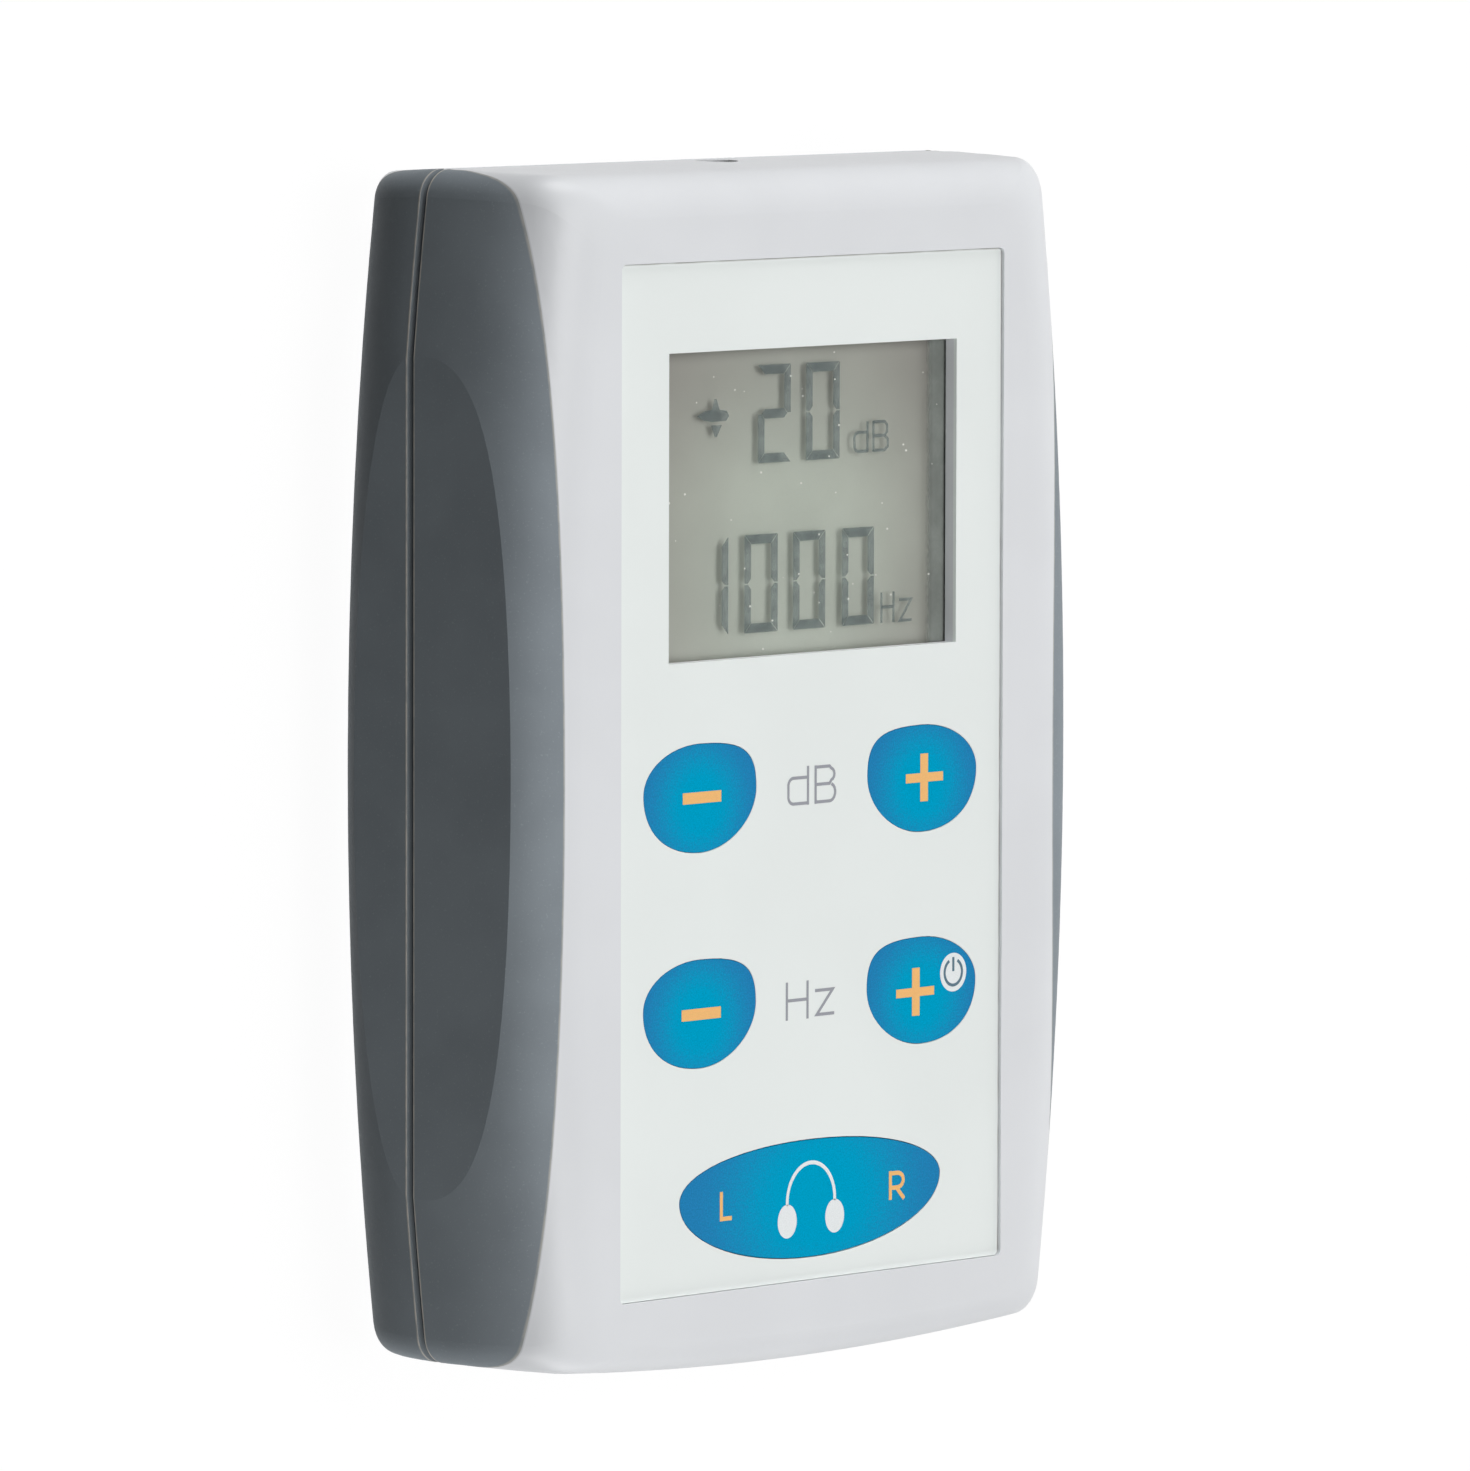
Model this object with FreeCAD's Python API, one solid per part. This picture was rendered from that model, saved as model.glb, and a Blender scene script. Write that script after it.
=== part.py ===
"""Handheld screening audiometer, lying on its back.

Frame: millimetres, +Z out of the front face, +Y towards the headphone socket, +X to the right of
someone reading the display. The origin is the centre of the case in X and Y, on its back plane.
"""
import FreeCAD, Part
import math
import os

V = FreeCAD.Vector

# ---- case
LENGTH = 117.0              # along Y at the parting line
WIDTH = 79.0                # across the flat side facets
DEPTH = 33.0
PARTING_Z = 16.5            # where the two halves meet
BARREL_HALF_WIDTH = WIDTH / 2 + 1.95    # half width of the barrel sides before the facets cut them
BARREL_RADIUS = 420.0       # plan radius of the barrel sides
FOOT_RADIUS = 400.0         # plan radius of the convex bottom end
HEAD_DRAFT = 1.5            # degrees that the top end leans in, away from the parting line
FOOT_DRAFT = 0.5            # the same on the bottom end
CORNER = 3.0                # plan radius of all four corners at the parting line
FRONT_FLAT = WIDTH / 2 - 6.5            # half width of the flat front face at mid length
FRONT_SHOULDER = WIDTH / 2 + 0.1        # half width where the shoulder's first handle ends
FRONT_LEAN = -0.25          # how far the shoulder's second handle stays inside the parting line
FRONT_DROP = 4.0            # how far it lies below the front face
FRONT_HEAD_ROUNDING = 4.2   # rounding between the top end and the front face
FRONT_FOOT_ROUNDING = 2.8
FRONT_HEAD_CORNER = 3.4     # plan radius of the top corners on the front face
FRONT_FOOT_CORNER = 5.0
BACK_HEAD_DRAFT = 3.3       # the top end leans in more behind the parting line
BACK_FLAT = WIDTH / 2 - 17.5            # the same eight sizes on the back
BACK_SHOULDER = WIDTH / 2 - 6.3
BACK_LEAN = 0.0
BACK_DROP = 6.8
BACK_HEAD_ROUNDING = 2.6
BACK_FOOT_ROUNDING = 3.4
BACK_HEAD_CORNER = 3.0
BACK_FOOT_CORNER = 6.0
LEVELS = 14                 # outlines that each half is drawn through
LOFT_DEGREE = 3
LEAST_ROUNDING = 0.8
FLAT_INSET = 0.5            # on an inner surface, the section's control values move by these shares
SHOULDER_INSET = 0.8        # of how far the surface is set in
DROP_INSET = 0.4
CORNER_INSET = 0.6
WALL = 2.8
PARTING_BEVEL = 0.4
PARTING_GAP = 0.12
LIP_INSET = 1.75            # tongue on the rear half that centres the front half
LIP_HEIGHT = 1.2
LIP_CLEARANCE = 0.12

# ---- soft side grips
GRIP_THICK = 1.2
GRIP_EDGE = WIDTH / 2 - 4.4             # half distance between the grips on the front face at mid length
GRIP_SLOPE = 0.20           # how much their edge moves in for each mm towards the parting line
GRIP_RADIUS = 625.0         # plan radius of their edge
BACK_GRIP_RADIUS = 3000.0   # behind the parting line the edge straightens to this radius
GRIP_PAST_FACE = 2.0        # how far the space for a grip runs past the flat faces

# ---- printed overlay and its recess
OVERLAY_W = 54.7
OVERLAY_L = 100.0
OVERLAY_Y = -0.55           # centre of the overlay, and of all that is printed on it
OVERLAY_THICK = 0.4
OVERLAY_BELOW_FACE = 0.35
OVERLAY_CORNER = 0.6
OVERLAY_FIT = 0.06
OVERLAY_TOP = DEPTH - OVERLAY_BELOW_FACE
OVERLAY_BOTTOM = OVERLAY_TOP - OVERLAY_THICK

# ---- display
WINDOW_W = 41.25
WINDOW_H = 29.95
WINDOW_X = 0.2
WINDOW_Y = OVERLAY_Y + 26.33
GLASS_W = 46.0
GLASS_H = 38.0
GLASS_THICK = 1.1
GLASS_IN_WALL = 0.7         # how far the glass stands into its rebate in the front wall
REFLECTOR_W = 43.0
REFLECTOR_H = 31.2
REFLECTOR_THICK = 1.2
GASKET_THICK = 0.3
GASKET_MARGIN = 0.4         # how far the gasket's opening stands back from the window
FRAME_WALL = 1.3
FRAME_LEDGE = 1.4           # what the glass rests on
FRAME_FIT = 0.1
FRAME_BELOW_WALL = 0.1
REBATE_FIT = 0.2
ZEBRA_THICK = 1.9
ZEBRA_FIT = 0.2             # between a rubber strip and the frame
ZEBRA_LENGTH = 42.0

# ---- circuit board
BOARD_TOP = DEPTH - 9.2
BOARD_THICK = 1.6
BOARD_HALF_W = WIDTH / 2 - 11.5
BOARD_Y0 = 8.5 - LENGTH / 2
BOARD_Y1 = LENGTH / 2 - 6.5
BOARD_BOTTOM = BOARD_TOP - BOARD_THICK
STANDOFF_R = 2.4
BOARD_BOSS_GAP = 0.4        # between the board and the screw bosses that it is notched for
BOARD_HOLE_GAP = 0.15
STANDOFFS = ((25.2, -12.9), (25.2, -33.3), (17.0, BOARD_Y1 - 3.0))  # right hand side, mirrored to the left
BOARD_SCREW_R = 1.25
BOARD_SCREW_LENGTH = 5.0
BOARD_SCREW_HEAD_R = 2.2
BOARD_SCREW_HEAD = 1.4

# ---- keys
KEY_X = 15.95
KEY_ROWS = (-1.2, -22.15)   # height of the widest level of each row, from the overlay's centre
KEY_HALF_W = 7.93
KEY_UP = 4.63
KEY_DOWN = 5.87
KEY_FULLNESS = (0.77, 0.55, 0.60, 0.52)     # inner top, outer top, outer bottom, inner bottom
EAR_ROW = -41.05
EAR_HALF_W = 18.7
EAR_UP = 4.75
EAR_DOWN = 6.7
EAR_FULLNESS = (0.58, 0.58, 0.55, 0.55)
KEY_GAP = 0.06
EAR_GAP = 0.10
EAR_FLANGE_DROP = 0.4       # the rocking key's flange needs this much more room under the wall
KEY_SHELL_GAP = 0.25
KEY_FLANGE = 1.0
KEY_FLANGE_THICK = 0.9
KEY_FLANGE_GAP = 0.05
KEY_STEM_R = 2.0
KEY_TRAVEL_ROOM = 0.4
EAR_SWITCH_X = 13.0
PIVOT_R = 0.9
PIVOT_LENGTH = 1.6
PIVOT_ROOT = 0.8            # how far a pivot reaches back into the flange
PIVOT_CLEARANCE = 0.06
PIVOT_DROP = 1.0            # the rocking key's axis under the inside of the front wall
SADDLE_W = 4.4
SADDLE_DEPTH = 1.4
SADDLE_GAP = 0.3            # between the flange and its bearing
KEY_STEM_ROOT = 0.5         # how far a stem reaches up into the flange

# ---- tact switches
SWITCH_SIDE = 6.0
SWITCH_H = 3.5
PLUNGER_R = 1.75
PLUNGER_TOP = 4.3           # above the board
PLUNGER_LENGTH = 3.1
PLUNGER_CLEARANCE = 0.10
EAR_PLUNGER_CLEARANCE = 0.25

# ---- headphone socket
JACK_X = 0.0
JACK_BORE_R = 1.8
JACK_WALL_R = JACK_BORE_R + 0.3         # hole in the top end
JACK_SLEEVE_R = JACK_BORE_R + 0.9
JACK_TUBE_R = JACK_BORE_R + 0.4
JACK_CLEAR_X = JACK_SLEEVE_R + 1.3      # no tongue and groove within this half width of the socket
JACK_SLEEVE_LENGTH = 3.6
JACK_DEPTH = 14.2           # of the bore
JACK_W = 2 * (JACK_TUBE_R + 1.0)
JACK_H = 2 * (JACK_TUBE_R + 0.3)
JACK_BODY_LENGTH = 13.4
JACK_SEAT = 1.5             # how far the sleeve reaches into the wall
JACK_Z = BOARD_BOTTOM - JACK_H / 2
JACK_FIT = 0.1
JACK_BODY_FIT = 0.25
CONTACT_PITCH = 3.2
CONTACT_FIRST = 1.8         # from the sleeve's inner end
CONTACT_W = 1.0
CONTACT_H = 1.2
CONTACT_GAP = 0.35          # between the bore and the springs
CONTACTS = 3

# ---- fasteners
CASE_SCREW_X = WIDTH / 2 - 11.0
CASE_SCREW_Y = LENGTH / 2 - 9.5
CASE_SCREWS = ((CASE_SCREW_X, CASE_SCREW_Y), (CASE_SCREW_X, -CASE_SCREW_Y))
SCREW_R = 1.5
SCREW_HEAD_R = 2.8
SCREW_WELL_R = SCREW_HEAD_R + 0.3
SCREW_HOLE_R = SCREW_R + 0.2
BOSS_R = SCREW_WELL_R + 0.5
BOSS_FIT = 0.15
SCREW_HEAD = 2.2
SCREW_HEAD_Z = 2.8          # outer face of the head, above the back plane
SCREW_LENGTH = 20.0
RECESS_SPAN = 0.6           # reach of the cross recess, as a share of the head's radius
RECESS_DEPTH = 0.5          # its depth, as a share of the head's height
RECESS_ARM = 0.5            # half width of its arms
HEAD_ROUND = 0.35           # rounding of the head, as a share of its height
HOLE_PAST_TIP = 0.5         # how much deeper a screw's hole is than the screw

# ---- battery and its compartment
BATTERY_W = 26.5
BATTERY_T = 17.5
BATTERY_L = 46.4
BATTERY_Y0 = 4.5 - LENGTH / 2
BATTERY_Z0 = 2.4
BATTERY_ROUND = 2.0
STUD_R = 2.9
STUD_H = 2.1
STUD_X = 6.35
SNAP_W = BATTERY_W - 1.5
SNAP_L = 4.0
SNAP_H = 15.0
BOX_FIT = 0.5
BOX_WALL = 1.4
BOX_TOP = BATTERY_Z0 + BATTERY_T + 1.3
BOX_ROOT = 1.0              # how far its side walls reach into the bottom end
BOX_END_GAP = 0.7           # between the side walls and the front half's bottom end
BOX_Y1 = BATTERY_Y0 + BATTERY_L + SNAP_L + 4.1      # inner face of the compartment's head wall
LEAD_R = 0.6
LEAD_BEND = 1.2
LEAD_X = 2.6
LEAD_NOTCH = 8.0
LEAD_NOTCH_DEPTH = 1.6
LEAD_OVER_NOTCH = 0.9       # centre line of a lead above the notch's floor
LEAD_OUT = 1.7              # from the snap to the middle of the first turn
LEAD_PAST_WALL = 5.0
LEAD_LAST_BEND = 0.8        # last turns, as a share of the room up to the board

# ---- battery door
DOOR_HALF_W = BATTERY_W / 2 + BOX_FIT + 2.75
DOOR_THICK = 2.0
DOOR_Y1 = BOX_Y1 + 2.5
DOOR_END_Z = 9.0            # how far the door's end wall climbs the bottom end
DOOR_GAP = 0.15
DOOR_LIP = 1.2
DOOR_LIP_THICK = 0.9
DOOR_LIP_Y0 = 5.5 - LENGTH / 2
GUIDE_HALF_W = DOOR_HALF_W + 4.0        # thicker floor beside the door, which its lips run in
GUIDE_TOP = 4.0
GUIDE_PAST_BOX = 6.0
FLOOR_ROOT = 1.0            # level inside the back wall that inner walls start from
THUMB_RIBS = 6
THUMB_PITCH = 1.8
THUMB_GROOVE = 0.9
THUMB_FROM_EDGE = 4.0       # first groove, from the door's inner edge
THUMB_DEPTH = 0.4
THUMB_HALF_W = 7.0

# ---- parts under the board
LEG_REACH = 0.9
LEG_THICK = 0.2
LEG_SHARE = 0.45            # a leg's width, as a share of the pitch
CHIP_GAP = 0.1              # under a chip's body
CHIPS = (                   # name, centre, body size, thickness, legs on a side, pitch, legs all round
    ("controller_chip", -10.0, 22.0, 12.0, 12.0, 1.4, 16, 0.65, True),
    ("codec_chip", 10.0, 34.0, 5.3, 8.2, 1.6, 12, 0.65, False),
    ("amplifier_chip", 12.0, 20.0, 3.9, 5.0, 1.5, 4, 1.27, False),
    ("memory_chip", -20.0, 38.0, 3.9, 5.0, 1.5, 4, 1.27, False),
    ("regulator_chip", 20.0, 12.0, 3.6, 6.6, 1.6, 3, 2.3, False))
CRYSTAL_AT = (-10.0, 38.0)
CRYSTAL_CAN = (11.0, 4.6, 2.2)              # length, width, end radius
CRYSTAL_RIM = (11.8, 5.4, 2.6)
CRYSTAL_H = 3.6
CRYSTAL_RIM_H = 0.4
CAPACITOR_X = 9.5
CAPACITOR_Y = BOARD_Y1 - 4.5
CAPACITOR_R = 3.15
CAPACITOR_H = 6.2
CAPACITOR_FOOT = 6.6
CAPACITOR_FOOT_H = 0.8

CASE_FAR = 90.0             # beyond every face of the case
THROUGH = 1.0               # how far a cutting shape runs past the faces that it opens

# ---- levels that follow from the sizes above
INNER_FACE = DEPTH - WALL
PIVOT_Z = INNER_FACE - PIVOT_DROP
GLASS_TOP = INNER_FACE + GLASS_IN_WALL
GLASS_BOTTOM = GLASS_TOP - GLASS_THICK
FLANGE_TOP = INNER_FACE - KEY_FLANGE_GAP
FLANGE_BOTTOM = FLANGE_TOP - KEY_FLANGE_THICK
STEM_BOTTOM = BOARD_TOP + PLUNGER_TOP
EAR_WAIST = OVERLAY_Y + EAR_ROW
EAR_MIDDLE = EAR_WAIST + (EAR_UP - EAR_DOWN) / 2
BATTERY_MID_Z = BATTERY_Z0 + BATTERY_T / 2
BATTERY_Y1 = BATTERY_Y0 + BATTERY_L


def box(x0, x1, y0, y1, z0, z1):
    return Part.makeBox(x1 - x0, y1 - y0, z1 - z0, V(x0, y0, z0))


def centred_box(x, y, w, h, z0, z1):
    return box(x - w / 2, x + w / 2, y - h / 2, y + h / 2, z0, z1)


def slab(z0, z1):
    """All of the case between two levels."""
    return box(-CASE_FAR, CASE_FAR, -CASE_FAR, CASE_FAR, z0, z1)


def cylinder(x, y, z0, z1, r):
    return Part.makeCylinder(r, z1 - z0, V(x, y, z0))


def mirrored(shape):
    """The same piece on the other side of the case."""
    return shape.mirror(V(0, 0, 0), V(1, 0, 0))


def fused(shapes):
    whole = shapes[0]
    for other in shapes[1:]:
        whole = whole.fuse(other)
    return whole.removeSplitter()


def bezier(*points):
    curve = Part.BezierCurve()
    curve.setPoles([V(*p) for p in points])
    return curve.toShape()


# ---------------------------------------------------------------- case

def cubic(t, *values):
    """A cubic Bezier curve's value at t, from its four control values."""
    p, q, r, s = values
    return p * (1 - t) ** 3 + 3 * q * (1 - t) ** 2 * t + 3 * r * (1 - t) * t ** 2 + s * t ** 3


def rounding(z, flat, radius):
    """How far an end wall has curved in at height z, where it rounds over into the flat face."""
    reach = radius - abs(flat - z)
    return radius - math.sqrt(max(radius ** 2 - max(reach, 0.0) ** 2, 0.0))


def meeting(ax, ay, ra, bx, by, rb):
    """Where two circles cross, at the point furthest to the right and down."""
    apart = math.hypot(bx - ax, by - ay)
    along = (apart ** 2 + ra ** 2 - rb ** 2) / (2 * apart)
    off = math.sqrt(ra ** 2 - along ** 2)
    ux, uy = (bx - ax) / apart, (by - ay) / apart
    points = [(ax + ux * along - k * uy * off, ay + uy * along + k * ux * off) for k in (1, -1)]
    return max(points, key=lambda p: p[0] - p[1])


def pushed(x, y, cx, cy, r):
    """The point at distance r from a centre, in the direction of another point."""
    k = r / math.hypot(x - cx, y - cy)
    return cx + (x - cx) * k, cy + (y - cy) * k


def outline(z, side, head, foot, head_corner, foot_corner):
    """Plan outline at one level: straight top, convex bottom, barrel sides and four round corners."""
    side_x = BARREL_HALF_WIDTH - BARREL_RADIUS
    side_r = side - side_x
    foot_y = FOOT_RADIUS - LENGTH / 2
    foot_r = foot_y - foot
    hx = side_x + math.sqrt((side_r - head_corner) ** 2 - (head - head_corner) ** 2)
    hy = head - head_corner
    fx, fy = meeting(side_x, 0, side_r - foot_corner, 0, foot_y, foot_r - foot_corner)
    a = (hx, head)
    c = pushed(hx, hy, side_x, 0, side_r)
    b = pushed((a[0] + c[0]) / 2, (a[1] + c[1]) / 2, hx, hy, head_corner)
    d = (side, 0)
    e = pushed(fx, fy, side_x, 0, side_r)
    g = pushed(fx, fy, 0, foot_y, foot_r)
    f = pushed((e[0] + g[0]) / 2, (e[1] + g[1]) / 2, fx, fy, foot_corner)
    h = (0, foot)

    def at(p, k=1):
        return V(k * p[0], p[1], z)

    edges = [Part.LineSegment(at(a, -1), at(a)), Part.Arc(at(a), at(b), at(c)),
             Part.Arc(at(c), at(d), at(e)), Part.Arc(at(e), at(f), at(g)),
             Part.Arc(at(g), at(h), at(g, -1)), Part.Arc(at(g, -1), at(f, -1), at(e, -1)),
             Part.Arc(at(e, -1), at(d, -1), at(c, -1)), Part.Arc(at(c, -1), at(b, -1), at(a, -1))]
    return Part.Wire([edge.toShape() for edge in edges])


def half_case(front, inset=0.0):
    """One half of the case as a solid block, its surface set in by inset.

    It is drawn through plan outlines from the parting line to the flat face. The sides follow a
    cubic shoulder, the ends a drafted wall and a rounding, and the corners widen towards the face.
    """
    if front:
        flat_z, flat, shoulder, lean, drop = DEPTH, FRONT_FLAT, FRONT_SHOULDER, FRONT_LEAN, -FRONT_DROP
        head_round, foot_round = FRONT_HEAD_ROUNDING, FRONT_FOOT_ROUNDING
        head_corner, foot_corner = FRONT_HEAD_CORNER, FRONT_FOOT_CORNER
        head_draft = HEAD_DRAFT
        flat_z -= inset
        drop += inset * DROP_INSET
    else:
        flat_z, flat, shoulder, lean, drop = 0.0, BACK_FLAT, BACK_SHOULDER, BACK_LEAN, BACK_DROP
        head_round, foot_round = BACK_HEAD_ROUNDING, BACK_FOOT_ROUNDING
        head_corner, foot_corner = BACK_HEAD_CORNER, BACK_FOOT_CORNER
        head_draft = BACK_HEAD_DRAFT
        flat_z += inset
        drop -= inset * DROP_INSET
    side = BARREL_HALF_WIDTH - inset
    head_round = max(head_round - inset, LEAST_ROUNDING)
    foot_round = max(foot_round - inset, LEAST_ROUNDING)
    wires = []
    for level in range(LEVELS):
        t = 1 - level / (LEVELS - 1)
        half_width = cubic(t, flat - inset * FLAT_INSET, shoulder - inset * SHOULDER_INSET,
                           side - lean, side)
        z = cubic(t, flat_z, flat_z, flat_z + drop, PARTING_Z)
        rise = abs(z - PARTING_Z)
        share = (side - half_width) / (side - flat)
        head = LENGTH / 2 - inset - rise * math.tan(math.radians(head_draft))
        foot = LENGTH / 2 - inset - rise * math.tan(math.radians(FOOT_DRAFT))
        head -= rounding(z, flat_z, head_round)
        foot -= rounding(z, flat_z, foot_round)
        corner = CORNER - inset * CORNER_INSET
        wires.append(outline(z, half_width, head, -foot, corner + (head_corner - CORNER) * share,
                             corner + (foot_corner - CORNER) * share))
    half = WIDTH / 2 - inset
    block = Part.makeLoft(wires, True, False, False, LOFT_DEGREE)
    return block.common(box(-half, half, -CASE_FAR, CASE_FAR, -1, DEPTH + 1)).Solids[0]


def grip_outline(z, edge, radius):
    """A closed outline at height z, on the right of the grip's edge."""
    far = CASE_FAR
    out = edge + radius - math.sqrt(radius ** 2 - far ** 2)
    arc = Part.Arc(V(out, -far, z), V(edge, 0, z), V(out, far, z))
    rest = Part.makePolygon([V(out, far, z), V(far, far, z), V(far, -far, z), V(out, -far, z)])
    return Part.Wire([arc.toShape()] + rest.Edges)


def grip_zone(front):
    """The space on the right that the soft grip takes.

    Its edge leans out towards the front face. Behind the parting line it stands upright, and
    straightens towards the back.
    """
    reach = DEPTH - PARTING_Z
    edge = GRIP_EDGE - GRIP_SLOPE * reach
    middle = grip_outline(PARTING_Z, edge, GRIP_RADIUS)
    if front:
        reach += GRIP_PAST_FACE
        last = grip_outline(PARTING_Z + reach, edge + GRIP_SLOPE * reach, GRIP_RADIUS)
    else:
        last = grip_outline(-GRIP_PAST_FACE, edge, BACK_GRIP_RADIUS)
    return Part.makeLoft([middle, last], True, True)


def case_block(front):
    """A half of the case, a little short of the parting line and with its edge there bevelled."""
    edge_z = PARTING_Z + (PARTING_GAP if front else -PARTING_GAP) / 2
    block = half_case(front).common(slab(*((edge_z, DEPTH + 1) if front else (-1, edge_z)))).Solids[0]
    rim = [e for e in block.Edges if all(abs(v.Z - edge_z) < 0.01 for v in e.Vertexes)
           and abs(e.CenterOfMass.z - edge_z) < 0.01]
    return block.makeChamfer(PARTING_BEVEL, rim)


def rounded_box(x, y, w, h, z0, z1, r):
    """A block whose upright corners have radius r."""
    block = centred_box(x, y, w, h, z0, z1)
    return block.makeFillet(r, [e for e in block.Edges if abs(e.Vertexes[0].Z - e.Vertexes[-1].Z) > 0.1])


# ---------------------------------------------------------------- key outlines

def pebble(x, y, half_w, up, down, fullness, z, thick, grow=0.0, flip=1):
    """A key-shaped prism: four cubic quarters about its widest level, each with its own fullness."""
    left, right = -half_w - grow, half_w + grow
    top, bottom = up + grow, -down - grow
    inner_top, outer_top, outer_bottom, inner_bottom = fullness

    def quarter(side, end, full):
        return bezier(*[(x + flip * px, y + py, z) for px, py in
                        ((side, 0), (side, full * end), (side * full, end), (0, end))])

    edges = [quarter(right, top, inner_top), quarter(left, top, outer_top),
             quarter(left, bottom, outer_bottom), quarter(right, bottom, inner_bottom)]
    return Part.Face(Part.Wire(Part.__sortEdges__(edges))).extrude(V(0, 0, thick))


def key_places():
    """Name, centre and handedness of each pebble key. The fuller top corner faces the middle."""
    down_row, hz_row = (OVERLAY_Y + row for row in KEY_ROWS)
    return (("db_down", -KEY_X, down_row, 1), ("db_up", KEY_X, down_row, -1),
            ("hz_down", -KEY_X, hz_row, 1), ("hz_up", KEY_X, hz_row, -1))


def key_prism(x, y, flip, z, thick, grow=0.0):
    return pebble(x, y, KEY_HALF_W, KEY_UP, KEY_DOWN, KEY_FULLNESS, z, thick, grow, flip)


def ear_prism(z, thick, grow=0.0):
    return pebble(0, OVERLAY_Y + EAR_ROW, EAR_HALF_W, EAR_UP, EAR_DOWN, EAR_FULLNESS, z, thick, grow)


def key_middle(waist):
    """Height of a pebble key's centre, where its switch sits."""
    return waist + (KEY_UP - KEY_DOWN) / 2


def switch_places():
    """Name, centre and bore clearance of each tact switch on the board."""
    places = [(name, x, key_middle(y), PLUNGER_CLEARANCE) for name, x, y, flip in key_places()]
    places.append(("left", -EAR_SWITCH_X, EAR_MIDDLE, EAR_PLUNGER_CLEARANCE))
    places.append(("right", EAR_SWITCH_X, EAR_MIDDLE, EAR_PLUNGER_CLEARANCE))
    return places


# ---------------------------------------------------------------- shells and grips

def both_sides(places):
    return [(k * x, y) for x, y in places for k in (1, -1)]


def hollow(block, zone, front):
    """A half of the case with its cavity and its two grip seats cut out."""
    shell = block.cut(half_case(front, WALL))
    skin = half_case(front, GRIP_THICK)
    for side in (zone, mirrored(zone)):
        shell = shell.cut(side.cut(skin))
    return shell


def front_shell(block, zone):
    """The front half: label recess, window, key openings, bosses, standoffs and bearings."""
    shell = hollow(block, zone, True)
    fit = 2 * OVERLAY_FIT
    shell = shell.cut(rounded_box(0, OVERLAY_Y, OVERLAY_W + fit, OVERLAY_L + fit,
                                  OVERLAY_BOTTOM, DEPTH + THROUGH, OVERLAY_CORNER))
    shell = shell.cut(window(WINDOW_W, WINDOW_H, INNER_FACE - THROUGH, DEPTH))
    fit = 2 * REBATE_FIT
    shell = shell.cut(window(GLASS_W + fit, GLASS_H + fit, INNER_FACE - THROUGH, GLASS_TOP + GASKET_THICK))
    for name, x, y, flip in key_places():
        shell = shell.cut(key_prism(x, y, flip, INNER_FACE - THROUGH, WALL + THROUGH, KEY_SHELL_GAP))
    shell = shell.cut(ear_prism(INNER_FACE - THROUGH, WALL + THROUGH, KEY_SHELL_GAP))
    inside = half_case(True)
    posts = [cylinder(x, y, PARTING_Z + PARTING_GAP / 2, INNER_FACE + WALL / 2, BOSS_R).common(inside)
             for x, y in both_sides(CASE_SCREWS)]
    posts += [cylinder(x, y, BOARD_TOP, INNER_FACE + WALL / 4, STANDOFF_R) for x, y in both_sides(STANDOFFS)]
    posts += [saddle(k) for k in (1, -1)]
    shell = shell.fuse(posts)
    tip = SCREW_HEAD_Z + SCREW_HEAD + SCREW_LENGTH + HOLE_PAST_TIP
    for x, y in both_sides(CASE_SCREWS):
        shell = shell.cut(cylinder(x, y, PARTING_Z - THROUGH, tip, SCREW_R))
    tip = BOARD_BOTTOM + BOARD_SCREW_LENGTH + HOLE_PAST_TIP
    for x, y in both_sides(STANDOFFS):
        shell = shell.cut(cylinder(x, y, BOARD_TOP - THROUGH, tip, BOARD_SCREW_R))
    return shell.cut(groove()).cut(jack_hole())


def groove():
    """The groove in the front half's rim for the rear half's tongue."""
    ring = half_case(True, LIP_INSET - LIP_CLEARANCE).common(
        slab(PARTING_Z, PARTING_Z + LIP_HEIGHT + LIP_CLEARANCE))
    for x, y in both_sides(CASE_SCREWS):
        ring = ring.cut(cylinder(x, y, PARTING_Z - THROUGH, DEPTH, BOSS_R))
    return ring.cut(jack_clearance(-LIP_CLEARANCE))


def tongue_ring():
    """The tongue on the rear half's rim, with the root that joins it to the wall."""
    top = half_case(True, LIP_INSET).cut(half_case(True, WALL))
    root = half_case(False, LIP_INSET).cut(half_case(False, WALL))
    top = top.common(slab(PARTING_Z, PARTING_Z + LIP_HEIGHT))
    root = root.common(slab(PARTING_Z - LIP_HEIGHT, PARTING_Z))
    ring = top.fuse(root).cut(jack_clearance(0.0))
    for x, y in both_sides(CASE_SCREWS):
        ring = ring.cut(cylinder(x, y, PARTING_Z, DEPTH, BOSS_R + BOSS_FIT))
    return ring


def jack_clearance(grow):
    """The stretch of the top end where tongue and groove stop, beside the socket."""
    half = JACK_CLEAR_X + grow
    return box(JACK_X - half, JACK_X + half, 0, CASE_FAR, PARTING_Z - LIP_HEIGHT, DEPTH)


def saddle(k):
    """A U-shaped bearing under the front wall for one pivot of the ear key."""
    reach = (EAR_UP if k > 0 else EAR_DOWN) + KEY_FLANGE + SADDLE_GAP
    y = EAR_WAIST + k * (reach + SADDLE_DEPTH / 2)
    block = centred_box(0, y, SADDLE_W, SADDLE_DEPTH, PIVOT_Z - PIVOT_R, INNER_FACE + WALL / 4)
    r = PIVOT_R + PIVOT_CLEARANCE
    slot = centred_box(0, y, 2 * r, SADDLE_DEPTH * 2, PIVOT_Z - PIVOT_R - THROUGH, PIVOT_Z)
    return block.cut(slot).cut(along_y(0, PIVOT_Z, y - SADDLE_DEPTH, y + SADDLE_DEPTH, r))


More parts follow.
